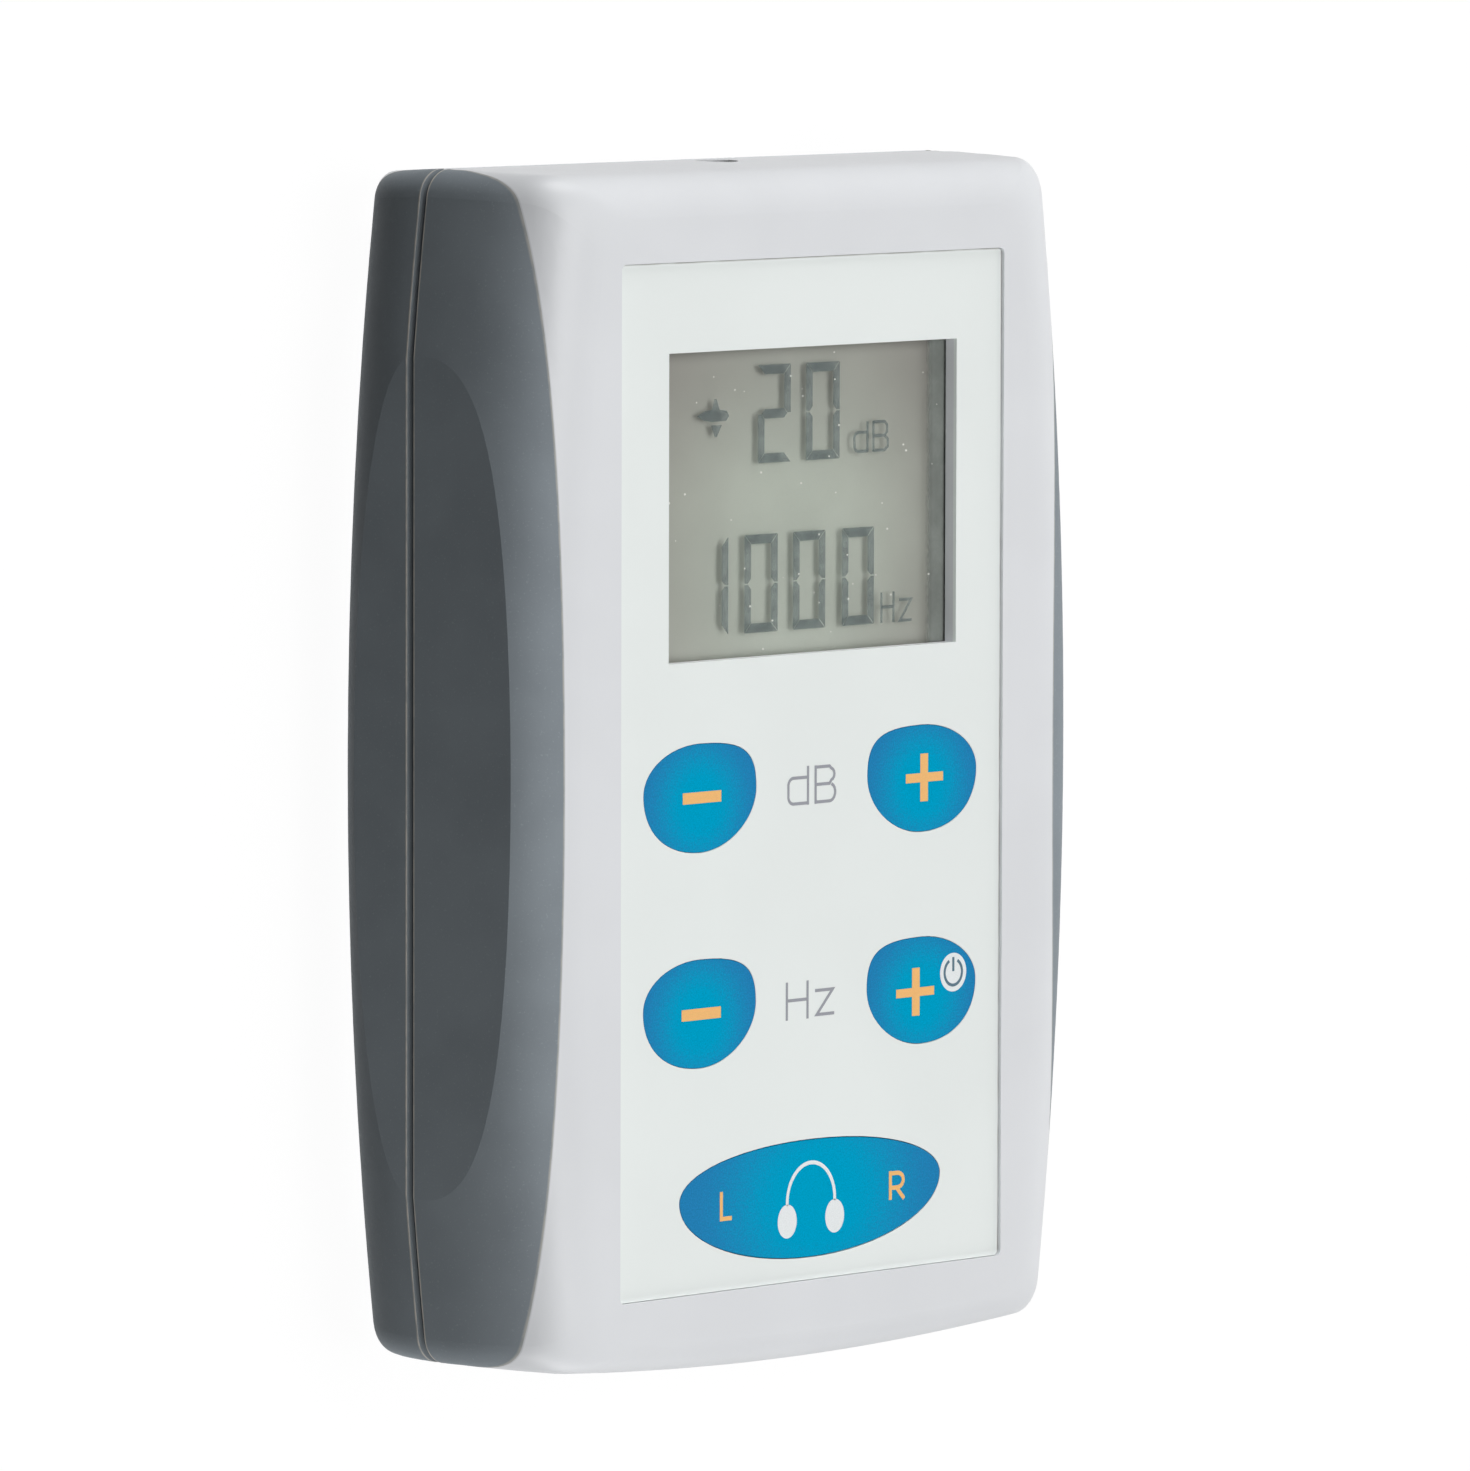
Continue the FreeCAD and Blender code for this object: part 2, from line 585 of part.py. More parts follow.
def rear_shell(block, zone):
    """The rear half: screw wells, battery compartment and the runners of its door."""
    shell = hollow(block, zone, False)
    inside = half_case(False)
    posts = [cylinder(x, y, 0, PARTING_Z - PARTING_GAP / 2, BOSS_R + BOSS_FIT).common(inside)
             for x, y in both_sides(CASE_SCREWS)]
    shell = shell.fuse([tongue_ring(), box_walls(), runners()] + posts)
    width = BATTERY_W / 2 + BOX_FIT
    shell = shell.cut(box(-width, width, -LENGTH / 2 + DOOR_THICK, BOX_Y1, -THROUGH, DEPTH))
    shell = shell.cut(centred_box(0, BOX_Y1 + BOX_WALL / 2, LEAD_NOTCH, BOX_WALL + THROUGH,
                                  BOX_TOP - LEAD_NOTCH_DEPTH, DEPTH))
    for x, y in both_sides(CASE_SCREWS):
        shell = shell.cut(cylinder(x, y, -THROUGH, SCREW_HEAD_Z + SCREW_HEAD, SCREW_WELL_R))
        shell = shell.cut(cylinder(x, y, -THROUGH, PARTING_Z + THROUGH, SCREW_HOLE_R))
    return shell.cut(fused(door_blocks(DOOR_GAP))).cut(jack_hole())


def box_walls():
    """The battery compartment as a block, kept inside the bottom end of both halves."""
    half = BATTERY_W / 2 + BOX_FIT + BOX_WALL
    low = -LENGTH / 2 + WALL
    block = box(-half, half, low - BOX_ROOT, BOX_Y1 + BOX_WALL, FLOOR_ROOT, BOX_TOP)
    block = block.cut(box(-CASE_FAR, CASE_FAR, -CASE_FAR, low + BOX_END_GAP, PARTING_Z, DEPTH))
    return block.cut(slab(FLOOR_ROOT / 2, PARTING_Z).cut(half_case(False, WALL / 2)))


def runners():
    low = -LENGTH / 2 + WALL - BOX_ROOT
    return box(-GUIDE_HALF_W, GUIDE_HALF_W, low, BOX_Y1 + BOX_WALL + GUIDE_PAST_BOX,
               FLOOR_ROOT, GUIDE_TOP).common(half_case(False))


def grip(block, zone, front):
    return block.common(zone).cut(half_case(front, GRIP_THICK))


# ---------------------------------------------------------------- battery door

def door_blocks(grow=0.0):
    """The door's outline as blocks: panel, end wall, side lips, and the tongue of its inner edge."""
    half = DOOR_HALF_W + grow
    end_y = -LENGTH / 2 + DOOR_THICK + grow
    lip_z0 = DOOR_THICK - DOOR_LIP_THICK - grow
    lip_y0 = -CASE_FAR if grow else DOOR_LIP_Y0
    top = DOOR_THICK + grow
    return [box(-half, half, -CASE_FAR, DOOR_Y1 + grow, -THROUGH, top),
            box(-half, half, -CASE_FAR, end_y, -THROUGH, DOOR_END_Z + grow),
            box(-half - DOOR_LIP, half + DOOR_LIP, lip_y0, DOOR_Y1 - DOOR_LIP, lip_z0, top),
            box(-half + DOOR_LIP, half - DOOR_LIP, DOOR_Y1 - DOOR_LIP, DOOR_Y1 + DOOR_LIP + grow,
                lip_z0, top)]


def battery_door():
    """The sliding door: a panel that wraps round the bottom edge, with lips in the runners."""
    case = half_case(False)
    panel, end, lips, tongue = door_blocks()
    skin = case.cut(half_case(False, DOOR_THICK)).common(panel.fuse(end))
    door = fused([skin, lips.common(case), tongue])
    y = DOOR_Y1 - THUMB_FROM_EDGE
    for rib in range(THUMB_RIBS):
        door = door.cut(box(-THUMB_HALF_W, THUMB_HALF_W, y - THUMB_GROOVE, y, -THROUGH, THUMB_DEPTH))
        y -= THUMB_PITCH
    return door


# ---------------------------------------------------------------- overlay and keys

def overlay():
    """The printed film, with its window and key openings."""
    film = rounded_box(0, OVERLAY_Y, OVERLAY_W, OVERLAY_L, OVERLAY_BOTTOM, OVERLAY_TOP,
                       OVERLAY_CORNER - OVERLAY_FIT)
    film = film.cut(window(WINDOW_W, WINDOW_H, OVERLAY_BOTTOM - THROUGH, DEPTH))
    deep = OVERLAY_THICK + 2 * THROUGH
    for name, x, y, flip in key_places():
        film = film.cut(key_prism(x, y, flip, OVERLAY_BOTTOM - THROUGH, deep, KEY_GAP))
    return film.cut(ear_prism(OVERLAY_BOTTOM - THROUGH, deep, EAR_GAP))


def pebble_key(x, y, flip):
    """A key cap with a flange that stops it under the front wall, and a stem on its switch."""
    cap = key_prism(x, y, flip, FLANGE_BOTTOM, OVERLAY_TOP - FLANGE_BOTTOM)
    flange = key_prism(x, y, flip, FLANGE_BOTTOM, KEY_FLANGE_THICK, KEY_FLANGE)
    stem = cylinder(x, key_middle(y), STEM_BOTTOM, FLANGE_BOTTOM + KEY_STEM_ROOT, KEY_STEM_R)
    return fused([cap, flange, stem])


def ear_key():
    """The wide L/R key: it rocks on two pivots and has a stem over each of its two switches."""
    bottom = FLANGE_BOTTOM - EAR_FLANGE_DROP
    parts = [ear_prism(bottom, OVERLAY_TOP - bottom), ear_prism(bottom, KEY_FLANGE_THICK, KEY_FLANGE)]
    for k in (1, -1):
        parts.append(cylinder(k * EAR_SWITCH_X, EAR_MIDDLE, STEM_BOTTOM, bottom + KEY_STEM_ROOT, KEY_STEM_R))
        root = EAR_WAIST + k * ((EAR_UP if k > 0 else EAR_DOWN) + KEY_FLANGE - PIVOT_ROOT)
        parts.append(along_y(0, PIVOT_Z, root, root + k * (PIVOT_ROOT + PIVOT_LENGTH), PIVOT_R))
    return fused(parts)


def plunger(x, y):
    return cylinder(x, y, STEM_BOTTOM - PLUNGER_LENGTH, STEM_BOTTOM, PLUNGER_R)


def tact_switch(x, y, clearance):
    """A square switch body with the bore that its plunger travels in."""
    top = BOARD_TOP + SWITCH_H
    body = centred_box(x, y, SWITCH_SIDE, SWITCH_SIDE, BOARD_TOP, top)
    floor = STEM_BOTTOM - PLUNGER_LENGTH - KEY_TRAVEL_ROOM
    return body.cut(cylinder(x, y, floor, top + THROUGH, PLUNGER_R + clearance))


# ---------------------------------------------------------------- display

def window(w, h, z0, z1):
    """A block centred on the display window."""
    return centred_box(WINDOW_X, WINDOW_Y, w, h, z0, z1)


def display_gasket():
    top = GLASS_TOP + GASKET_THICK
    margin = 2 * GASKET_MARGIN
    hole = window(WINDOW_W + margin, WINDOW_H + margin, GLASS_TOP - THROUGH, top + THROUGH)
    return window(GLASS_W, GLASS_H, GLASS_TOP, top).cut(hole)


def display_glass():
    return window(GLASS_W, GLASS_H, GLASS_BOTTOM, GLASS_TOP)


def display_reflector():
    return window(REFLECTOR_W, REFLECTOR_H, GLASS_BOTTOM - REFLECTOR_THICK, GLASS_BOTTOM)


def display_frame():
    """An open tray on the board that carries the glass on its ledge."""
    w, h = GLASS_W + 2 * FRAME_FIT, GLASS_H + 2 * FRAME_FIT
    tray = window(w + 2 * FRAME_WALL, h + 2 * FRAME_WALL, BOARD_TOP, INNER_FACE - FRAME_BELOW_WALL)
    tray = tray.cut(window(w, h, GLASS_BOTTOM, DEPTH))
    return tray.cut(window(w - 2 * FRAME_LEDGE, h - 2 * FRAME_LEDGE, BOARD_TOP - THROUGH, DEPTH))


def zebra(k):
    """A strip of conductive rubber between the board and the glass's contact edge."""
    y = WINDOW_Y + k * (GLASS_H / 2 + FRAME_FIT - FRAME_LEDGE - ZEBRA_FIT - ZEBRA_THICK / 2)
    return centred_box(WINDOW_X, y, ZEBRA_LENGTH, ZEBRA_THICK, BOARD_TOP, GLASS_BOTTOM)


# ---------------------------------------------------------------- board and what it carries

def main_board():
    """The board, notched for the screw bosses and drilled for its own screws."""
    board = box(-BOARD_HALF_W, BOARD_HALF_W, BOARD_Y0, BOARD_Y1, BOARD_BOTTOM, BOARD_TOP)
    for places, r in ((CASE_SCREWS, BOSS_R + BOARD_BOSS_GAP), (STANDOFFS, BOARD_SCREW_R + BOARD_HOLE_GAP)):
        for x, y in both_sides(places):
            board = board.cut(cylinder(x, y, BOARD_BOTTOM - THROUGH, BOARD_TOP + THROUGH, r))
    return board


def chip(x, y, w, h, thick, legs, pitch, all_round):
    """A moulded chip under the board with rows of flat legs along two or four of its sides."""
    top = BOARD_BOTTOM - CHIP_GAP
    parts = [centred_box(x, y, w, h, top - thick, top)]
    leg_w, z0 = pitch * LEG_SHARE, BOARD_BOTTOM - LEG_THICK
    for i in range(legs):
        along = (i - (legs - 1) / 2) * pitch
        parts.append(centred_box(x, y + along, w + 2 * LEG_REACH, leg_w, z0, BOARD_BOTTOM))
        if all_round:
            parts.append(centred_box(x + along, y, leg_w, h + 2 * LEG_REACH, z0, BOARD_BOTTOM))
    return fused(parts)


def crystal():
    """An oval metal can with a rim, lying under the board."""
    (w, h, r), (rim_w, rim_h, rim_r) = CRYSTAL_CAN, CRYSTAL_RIM
    rim_z = BOARD_BOTTOM - CRYSTAL_RIM_H
    return fused([rounded_box(*CRYSTAL_AT, w, h, BOARD_BOTTOM - CRYSTAL_H, rim_z, r),
                  rounded_box(*CRYSTAL_AT, rim_w, rim_h, rim_z, BOARD_BOTTOM, rim_r)])


def capacitor(x):
    """An upright electrolytic can on a square foot."""
    foot_z = BOARD_BOTTOM - CAPACITOR_FOOT_H
    return fused([centred_box(x, CAPACITOR_Y, CAPACITOR_FOOT, CAPACITOR_FOOT, foot_z, BOARD_BOTTOM),
                  cylinder(x, CAPACITOR_Y, BOARD_BOTTOM - CAPACITOR_H, foot_z, CAPACITOR_R)])


# ---------------------------------------------------------------- headphone socket

def along_y(x, z, y0, y1, r):
    """A cylinder along Y, from y0 to y1."""
    return Part.makeCylinder(r, abs(y1 - y0), V(x, y0, z), V(0, 1 if y1 > y0 else -1, 0))


def jack_round(y0, y1, r):
    """A cylinder on the socket's axis."""
    return along_y(JACK_X, JACK_Z, y0, y1, r)


def jack_front():
    """Where the metal mouth ends inside the drafted top wall."""
    lean = abs(JACK_Z - PARTING_Z) * math.tan(math.radians(HEAD_DRAFT))
    return LENGTH / 2 - lean - WALL + JACK_SEAT


def jack_hole():
    """The hole in the top end for the headphone plug, with a seat for the socket's metal mouth."""
    front = jack_front()
    seat = jack_round(front - JACK_SEAT - THROUGH, front, JACK_SLEEVE_R + JACK_FIT)
    return jack_round(front, CASE_FAR, JACK_WALL_R).fuse(seat)


def contact_places():
    first = jack_front() - JACK_SLEEVE_LENGTH - CONTACT_FIRST
    return [first - CONTACT_PITCH * i for i in range(CONTACTS)]


def jack_body():
    """The moulded body under the board, bored for the plug, with slots for its springs."""
    y1 = jack_front() - JACK_SEAT - JACK_BODY_FIT
    body = centred_box(JACK_X, y1 - JACK_BODY_LENGTH / 2, JACK_W, JACK_BODY_LENGTH,
                       BOARD_BOTTOM - JACK_H, BOARD_BOTTOM)
    body = body.cut(jack_round(jack_front() - JACK_DEPTH, CASE_FAR, JACK_BORE_R))
    body = body.cut(jack_round(jack_front() - JACK_SLEEVE_LENGTH, CASE_FAR, JACK_TUBE_R))
    for y in contact_places():
        body = body.cut(centred_box(JACK_X, y, JACK_W + THROUGH, CONTACT_W,
                                    JACK_Z - CONTACT_H / 2, JACK_Z + CONTACT_H / 2))
    return body


def jack_sleeve():
    """The metal mouth: a collar seated in the wall and a thinner tube that reaches into the body."""
    front = jack_front()
    sleeve = fused([jack_round(front - JACK_SEAT, front, JACK_SLEEVE_R),
                    jack_round(front - JACK_SLEEVE_LENGTH, front, JACK_TUBE_R)])
    return sleeve.cut(jack_round(0, CASE_FAR, JACK_BORE_R))


def jack_contacts():
    """Pairs of flat springs beside the bore."""
    length = JACK_W / 2 - JACK_BORE_R - CONTACT_GAP
    middle = JACK_W / 2 - length / 2
    return Part.makeCompound([centred_box(JACK_X + k * middle, y, length, CONTACT_W,
                                          JACK_Z - CONTACT_H / 2, JACK_Z + CONTACT_H / 2)
                              for y in contact_places() for k in (1, -1)])


# ---------------------------------------------------------------- battery

def battery_stud(k):
    return along_y(k * STUD_X, BATTERY_MID_Z, BATTERY_Y1, BATTERY_Y1 + STUD_H, STUD_R)


def battery():
    """A nine volt block with its two studs."""
    half = BATTERY_W / 2
    block = box(-half, half, BATTERY_Y0, BATTERY_Y1, BATTERY_Z0, BATTERY_Z0 + BATTERY_T)
    long_edges = [e for e in block.Edges if abs(e.Vertexes[0].Y - e.Vertexes[-1].Y) > BATTERY_L / 2]
    return fused([block.makeFillet(BATTERY_ROUND, long_edges), battery_stud(1), battery_stud(-1)])


def battery_snap():
    """The snap connector pressed on the battery's studs."""
    plate = box(-SNAP_W / 2, SNAP_W / 2, BATTERY_Y1, BATTERY_Y1 + SNAP_L,
                BATTERY_MID_Z - SNAP_H / 2, BATTERY_MID_Z + SNAP_H / 2)
    return plate.cut(battery_stud(1)).cut(battery_stud(-1))


def tube(points, r, bend):
    """A round lead: straight runs joined by tangent arcs, all in one upright plane."""
    edges, start = [], V(*points[0])
    for before, corner, after in zip(points, points[1:], points[2:]):
        p, c, q = V(*before), V(*corner), V(*after)
        back, on = (p - c).normalize() * bend, (q - c).normalize() * bend
        centre = c + back + on
        middle = centre + (c - centre).normalize() * bend
        edges += [Part.LineSegment(start, c + back).toShape(), Part.Arc(c + back, middle, c + on).toShape()]
        start = c + on
    edges.append(Part.LineSegment(start, V(*points[-1])).toShape())
    ring = Part.Wire([Part.Circle(V(*points[0]), V(*points[1]) - V(*points[0]), r).toShape()])
    return Part.Wire(edges).makePipeShell([ring], True, True)


def lead(k):
    """One battery lead, from the snap over the compartment's wall and up to the board."""
    x = k * LEAD_X
    y0 = BATTERY_Y1 + SNAP_L
    z1 = BOX_TOP - LEAD_NOTCH_DEPTH + LEAD_OVER_NOTCH
    y2 = BOX_Y1 + BOX_WALL + LEAD_PAST_WALL
    bend = min(LEAD_BEND, (BOARD_BOTTOM - z1) * LEAD_LAST_BEND)
    return tube([(x, y0, BATTERY_MID_Z), (x, y0 + LEAD_OUT, BATTERY_MID_Z), (x, y0 + LEAD_OUT, z1),
                 (x, y2, z1), (x, y2, BOARD_BOTTOM)], LEAD_R, bend)


# ---------------------------------------------------------------- screws

def screw(x, y, head_z, head_r, head_h, shank_r, length):
    """A pan-head screw driven upwards from behind, with a cross recess."""
    head = cylinder(x, y, head_z, head_z + head_h, head_r)
    rim = [e for e in head.Edges if len(e.Vertexes) == 1 and abs(e.CenterOfMass.z - head_z) < head_h / 10]
    head = head.makeFillet(head_h * HEAD_ROUND, rim)
    span = 2 * RECESS_SPAN * head_r
    for w, h in ((span, 2 * RECESS_ARM), (2 * RECESS_ARM, span)):
        head = head.cut(centred_box(x, y, w, h, head_z - THROUGH, head_z + head_h * RECESS_DEPTH))
    return fused([head, cylinder(x, y, head_z + head_h, head_z + head_h + length, shank_r)])


def case_screws():
    return Part.makeCompound([screw(x, y, SCREW_HEAD_Z, SCREW_HEAD_R, SCREW_HEAD, SCREW_R, SCREW_LENGTH)
                              for x, y in both_sides(CASE_SCREWS)])


def board_screws():
    head_z = BOARD_BOTTOM - BOARD_SCREW_HEAD
    return Part.makeCompound([screw(x, y, head_z, BOARD_SCREW_HEAD_R, BOARD_SCREW_HEAD,
                                    BOARD_SCREW_R, BOARD_SCREW_LENGTH) for x, y in both_sides(STANDOFFS)])


# ---------------------------------------------------------------- all pieces

def pieces():
    """Every sub-part's name and shape."""
    for front in (True, False):
        half = "front" if front else "rear"
        block, zone = case_block(front), grip_zone(front)
        yield half + "_shell", (front_shell if front else rear_shell)(block, zone)
        yield half + "_grip_right", grip(block, zone, front)
        yield half + "_grip_left", grip(block, mirrored(zone), front)
    yield "battery_door", battery_door()
    yield "overlay", overlay()
    for name, x, y, flip in key_places():
        yield "key_" + name, pebble_key(x, y, flip)
    yield "key_ear", ear_key()
    for name, x, y, clearance in switch_places():
        yield "switch_" + name, tact_switch(x, y, clearance)
        yield "plunger_" + name, plunger(x, y)
    yield "display_gasket", display_gasket()
    yield "display_glass", display_glass()
    yield "display_reflector", display_reflector()
    yield "display_frame", display_frame()
    yield "zebra_top", zebra(1)
    yield "zebra_bottom", zebra(-1)
    yield "main_board", main_board()
    for name, *sizes in CHIPS:
        yield name, chip(*sizes)
    yield "crystal", crystal()
    yield "capacitor_left", capacitor(-CAPACITOR_X)
    yield "capacitor_right", capacitor(CAPACITOR_X)
    yield "jack_body", jack_body()
    yield "jack_sleeve", jack_sleeve()
    yield "jack_contacts", jack_contacts()
    yield "battery", battery()
    yield "battery_snap", battery_snap()
    yield "lead_positive", lead(1)
    yield "lead_negative", lead(-1)
    yield "case_screws", case_screws()
    yield "board_screws", board_screws()


def main():
    os.makedirs("parts", exist_ok=True)
    for name, shape in pieces():
        solids = shape.Solids
        if not solids or not all(s.isValid() and s.Volume > 0 for s in solids):
            raise ValueError(name + " is not a sound solid")
        whole = solids[0] if len(solids) == 1 else Part.makeCompound(solids)
        whole.exportStep("parts/" + name + ".step")
        print(name, len(solids), round(whole.Volume, 1))


if __name__ == "__main__":
    main()
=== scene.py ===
"""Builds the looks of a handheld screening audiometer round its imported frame, piece by piece."""

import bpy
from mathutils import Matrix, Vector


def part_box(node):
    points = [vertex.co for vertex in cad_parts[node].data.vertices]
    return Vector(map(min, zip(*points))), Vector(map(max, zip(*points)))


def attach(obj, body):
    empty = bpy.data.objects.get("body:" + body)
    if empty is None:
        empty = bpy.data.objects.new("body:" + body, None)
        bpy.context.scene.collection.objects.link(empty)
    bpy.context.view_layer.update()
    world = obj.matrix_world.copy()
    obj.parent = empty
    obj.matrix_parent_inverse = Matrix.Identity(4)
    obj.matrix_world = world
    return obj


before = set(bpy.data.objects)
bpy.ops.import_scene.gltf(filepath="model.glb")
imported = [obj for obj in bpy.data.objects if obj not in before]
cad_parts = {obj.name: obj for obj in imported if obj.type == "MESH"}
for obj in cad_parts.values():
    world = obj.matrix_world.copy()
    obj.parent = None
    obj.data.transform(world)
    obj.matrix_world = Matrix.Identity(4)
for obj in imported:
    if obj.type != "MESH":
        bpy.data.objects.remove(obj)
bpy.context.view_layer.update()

import math

import bpy
import numpy as np
from mathutils import Matrix, Vector

bl_info = {
    "name": "Handheld audiometer",
    "version": (1, 0, 0),
    "blender": (4, 5, 0),
    "location": "View3D > Sidebar > Audiometer",
    "description": "Finishes, printing, display and stage for a handheld screening audiometer",
    "category": "Object",
}

MM = 0.001

# ---- places on the case, in millimetres
FILM_TOP = 32.65            # printed film and all key tops
PARTING_Z = 16.5
GRIP_EDGE = 31.8            # half distance between the grips at the parting line
GRIP_SLOPE = 0.20           # how much it grows for each mm towards the front face
GRIP_BOW = 1250.0           # the grips' edge moves out by Y squared over this
GRIP_STRAIGHTENS = 3.42e-5  # one over the bow shrinks by this for each mm behind the parting line
FILM_HALF_WIDTH = 27.35
FILM_HALF_LENGTH = 50.0
FILM_MIDDLE = -0.55         # Y of the film's centre
WINDOW_RIGHT, WINDOW_LOW, WINDOW_HIGH = 21.2, 10.82, 40.74      # reach of the painted shadow band and of the dust on the glass
SHADOW_BAND_LEFT = 18.2            # inner edge of the dark band of painted shadow on the display's glass
DISPLAY_MIDDLE = 20.0       # Y of the brightest place in the painted shade on the display's back layer

# ---- printing, display and small parts, in millimetres unless said otherwise
INK = 0.025                 # height of printed ink
INK_STEP = 0.002            # each stroke of a sign lies this much above the last
INK_EASE = 0.12             # an ink line's upper corners are eased over this share of its width
INK_SHOULDER = 0.6          # and from this share of its height
CRYSTAL_DEPTH = 0.15        # the segments lie this far inside the display's glass
UNIT_STROKE = 0.3           # strokes of the display's units
LETTER_STROKE = 0.42        # strokes of the side letters on the ear key
BAND_STROKE = 0.38          # headband of the headphones pictogram
POWER_STROKE = 0.3          # strokes of the power sign
POWER_CENTRE = (20.62, -21.88)
POWER_DISC, POWER_RING = 1.92, 1.28     # radii of the white disc and of the ring on it
POWER_BAR = (0.1, 1.5)      # the bar in the ring runs between these heights over its centre
HEADBAND_HALF = 3.42        # half width of the headphones pictogram, to the middle of its pads
KEY_TONE = (7.9, 7.4)       # half width and height over which a pebble key's colour runs
KEY_TONE_DROP = 0.6         # its middle lies this far below the key's own
EAR_TONE = (17.0, 13.0)     # the same for the ear key
EAR_TONE_SHIFT = 1.0        # its middle lies this far to the right of the key's own
CHIP_LEG = 0.88             # length of a chip's legs
CHIP_MARGIN = 0.1           # resin still covers this much outside a side without legs
FOUR_SIDED_CHIP = "controller_chip"     # the one with legs on all four sides
STEEL_END = (0.9, 0.8)      # the battery's bare steel starts between these distances from its ends
BATTERY_BAND = 0.35         # the jacket's second tone starts at this share of its half length
SPECKS, SPECK_SEED = 44, 7  # specks of dust on the glass, and the seed that places them
SPECK_SIZES = (0.08, 0.16)  # smallest and largest half width
SPECK_REACH, SPECK_MARGIN = 20.0, 0.5       # their reach to each side, and their distance from the ends

# ---- shader values
NOISE_SPAN = (0.3, 0.7)     # most of a noise texture's values lie between these
GLOSS_SPREAD = 0.06         # how far a moulded surface's roughness strays to each side
MIX_FIRST, MIX_SECOND, MIX_RESULT = 6, 7, 2     # the Mix node's sockets for colours

PEBBLE_KEYS = ("db_down", "db_up", "hz_down", "hz_up")


def colour(red, green, blue):
    """A colour written in screen values from 0 to 255, as the linear values that shaders use."""
    screen = np.array([red, green, blue], float) / 255
    linear = np.where(screen <= 0.04045, screen / 12.92, ((screen + 0.055) / 1.055) ** 2.4)
    return (*linear.tolist(), 1.0)


def tint(name, text, red, green, blue):
    return bpy.props.FloatVectorProperty(name=name, description=text, subtype="COLOR", size=4,
                                         min=0.0, max=1.0, default=colour(red, green, blue))


def share(name, text, value):
    return bpy.props.FloatProperty(name=name, description=text, subtype="FACTOR", min=0.0, max=1.0,
                                   default=value)


def length(name, text, value):
    return bpy.props.FloatProperty(name=name, description=text, unit="LENGTH", min=0.0,
                                   default=value * MM)


def power(name, text, value):
    return bpy.props.FloatProperty(name=name, description=text, unit="POWER", min=0.0, default=value)


# ---------------------------------------------------------------- what a user would change

class CaseLook(bpy.types.PropertyGroup):
    """The case halves, the battery door and the soft grips."""
    body: tint("Case", "Colour of the moulded case halves", 226, 228, 231)
    grip: tint("Grips", "Colour of the soft side grips", 140, 148, 154)
    dust: tint("Edge dust", "Pale dust caught along the grips' edges", 214, 208, 198)
    body_roughness: share("Case roughness", "How dull the moulded case is", 0.42)
    grip_roughness: share("Grip roughness", "How dull the soft grips are", 0.56)
    grain: length("Grain", "Size of the fine moulded grain", 0.35)


class PrintLook(bpy.types.PropertyGroup):
    """The printed film, the keys and their symbols."""
    film: tint("Film", "Colour of the printed front film", 238, 243, 241)
    key_middle: tint("Key middle", "Colour at the middle of a key", 0, 166, 208)
    key_rim: tint("Key rim", "Colour at the rim of a key", 40, 134, 190)
    symbol: tint("Symbols", "Colour of the symbols on the keys", 250, 194, 124)
    legend: tint("Legends", "Colour of the unit legends beside the keys", 160, 162, 169)
    white: tint("White ink", "Colour of the white pictograms", 240, 244, 245)
    stroke: length("Legend stroke", "Width of the thin legend strokes", 0.31)


class DisplayLook(bpy.types.PropertyGroup):
    """The reflective liquid crystal display."""
    reflector: tint("Reflector", "Colour of the display's back layer", 205, 211, 201)
    segment: tint("Segments", "Colour of the dark segments", 120, 134, 136)
    # Painted shadow: colour of the dark band that stands for the shade of the window's right wall on the
    # display
    shadow_band: tint("Edge seal", "Colour of the dark seal along the right edge of the glass", 134, 139, 134)
    density: share("Segment density", "How much a dark segment hides what is under it", 0.46)
    stroke: length("Segment stroke", "Width of the large segments", 0.92)
    gap: length("Segment gap", "Clear line between two segments", 0.09)


class StageLook(bpy.types.PropertyGroup):
    """The floor, the lamps and the camera."""
    floor: share("Floor", "How much light the floor gives back", 0.06)
    surround: share("Surround", "Level of the light from all round", 0.045)
    front: power("Front lamp", "Power of the lamp over the face", 12.7)
    head: power("Head lamp", "Power of the lamp beyond the socket end", 11.9)
    foot: power("Foot lamp", "Power of the lamp beyond the other end", 7.8)
    right: power("Right lamp", "Power of the lamp at the right", 7.4)
    near: power("Near lamp", "Power of the small lamp low at the left of the foot", 0.11)


# ---------------------------------------------------------------- node finishes

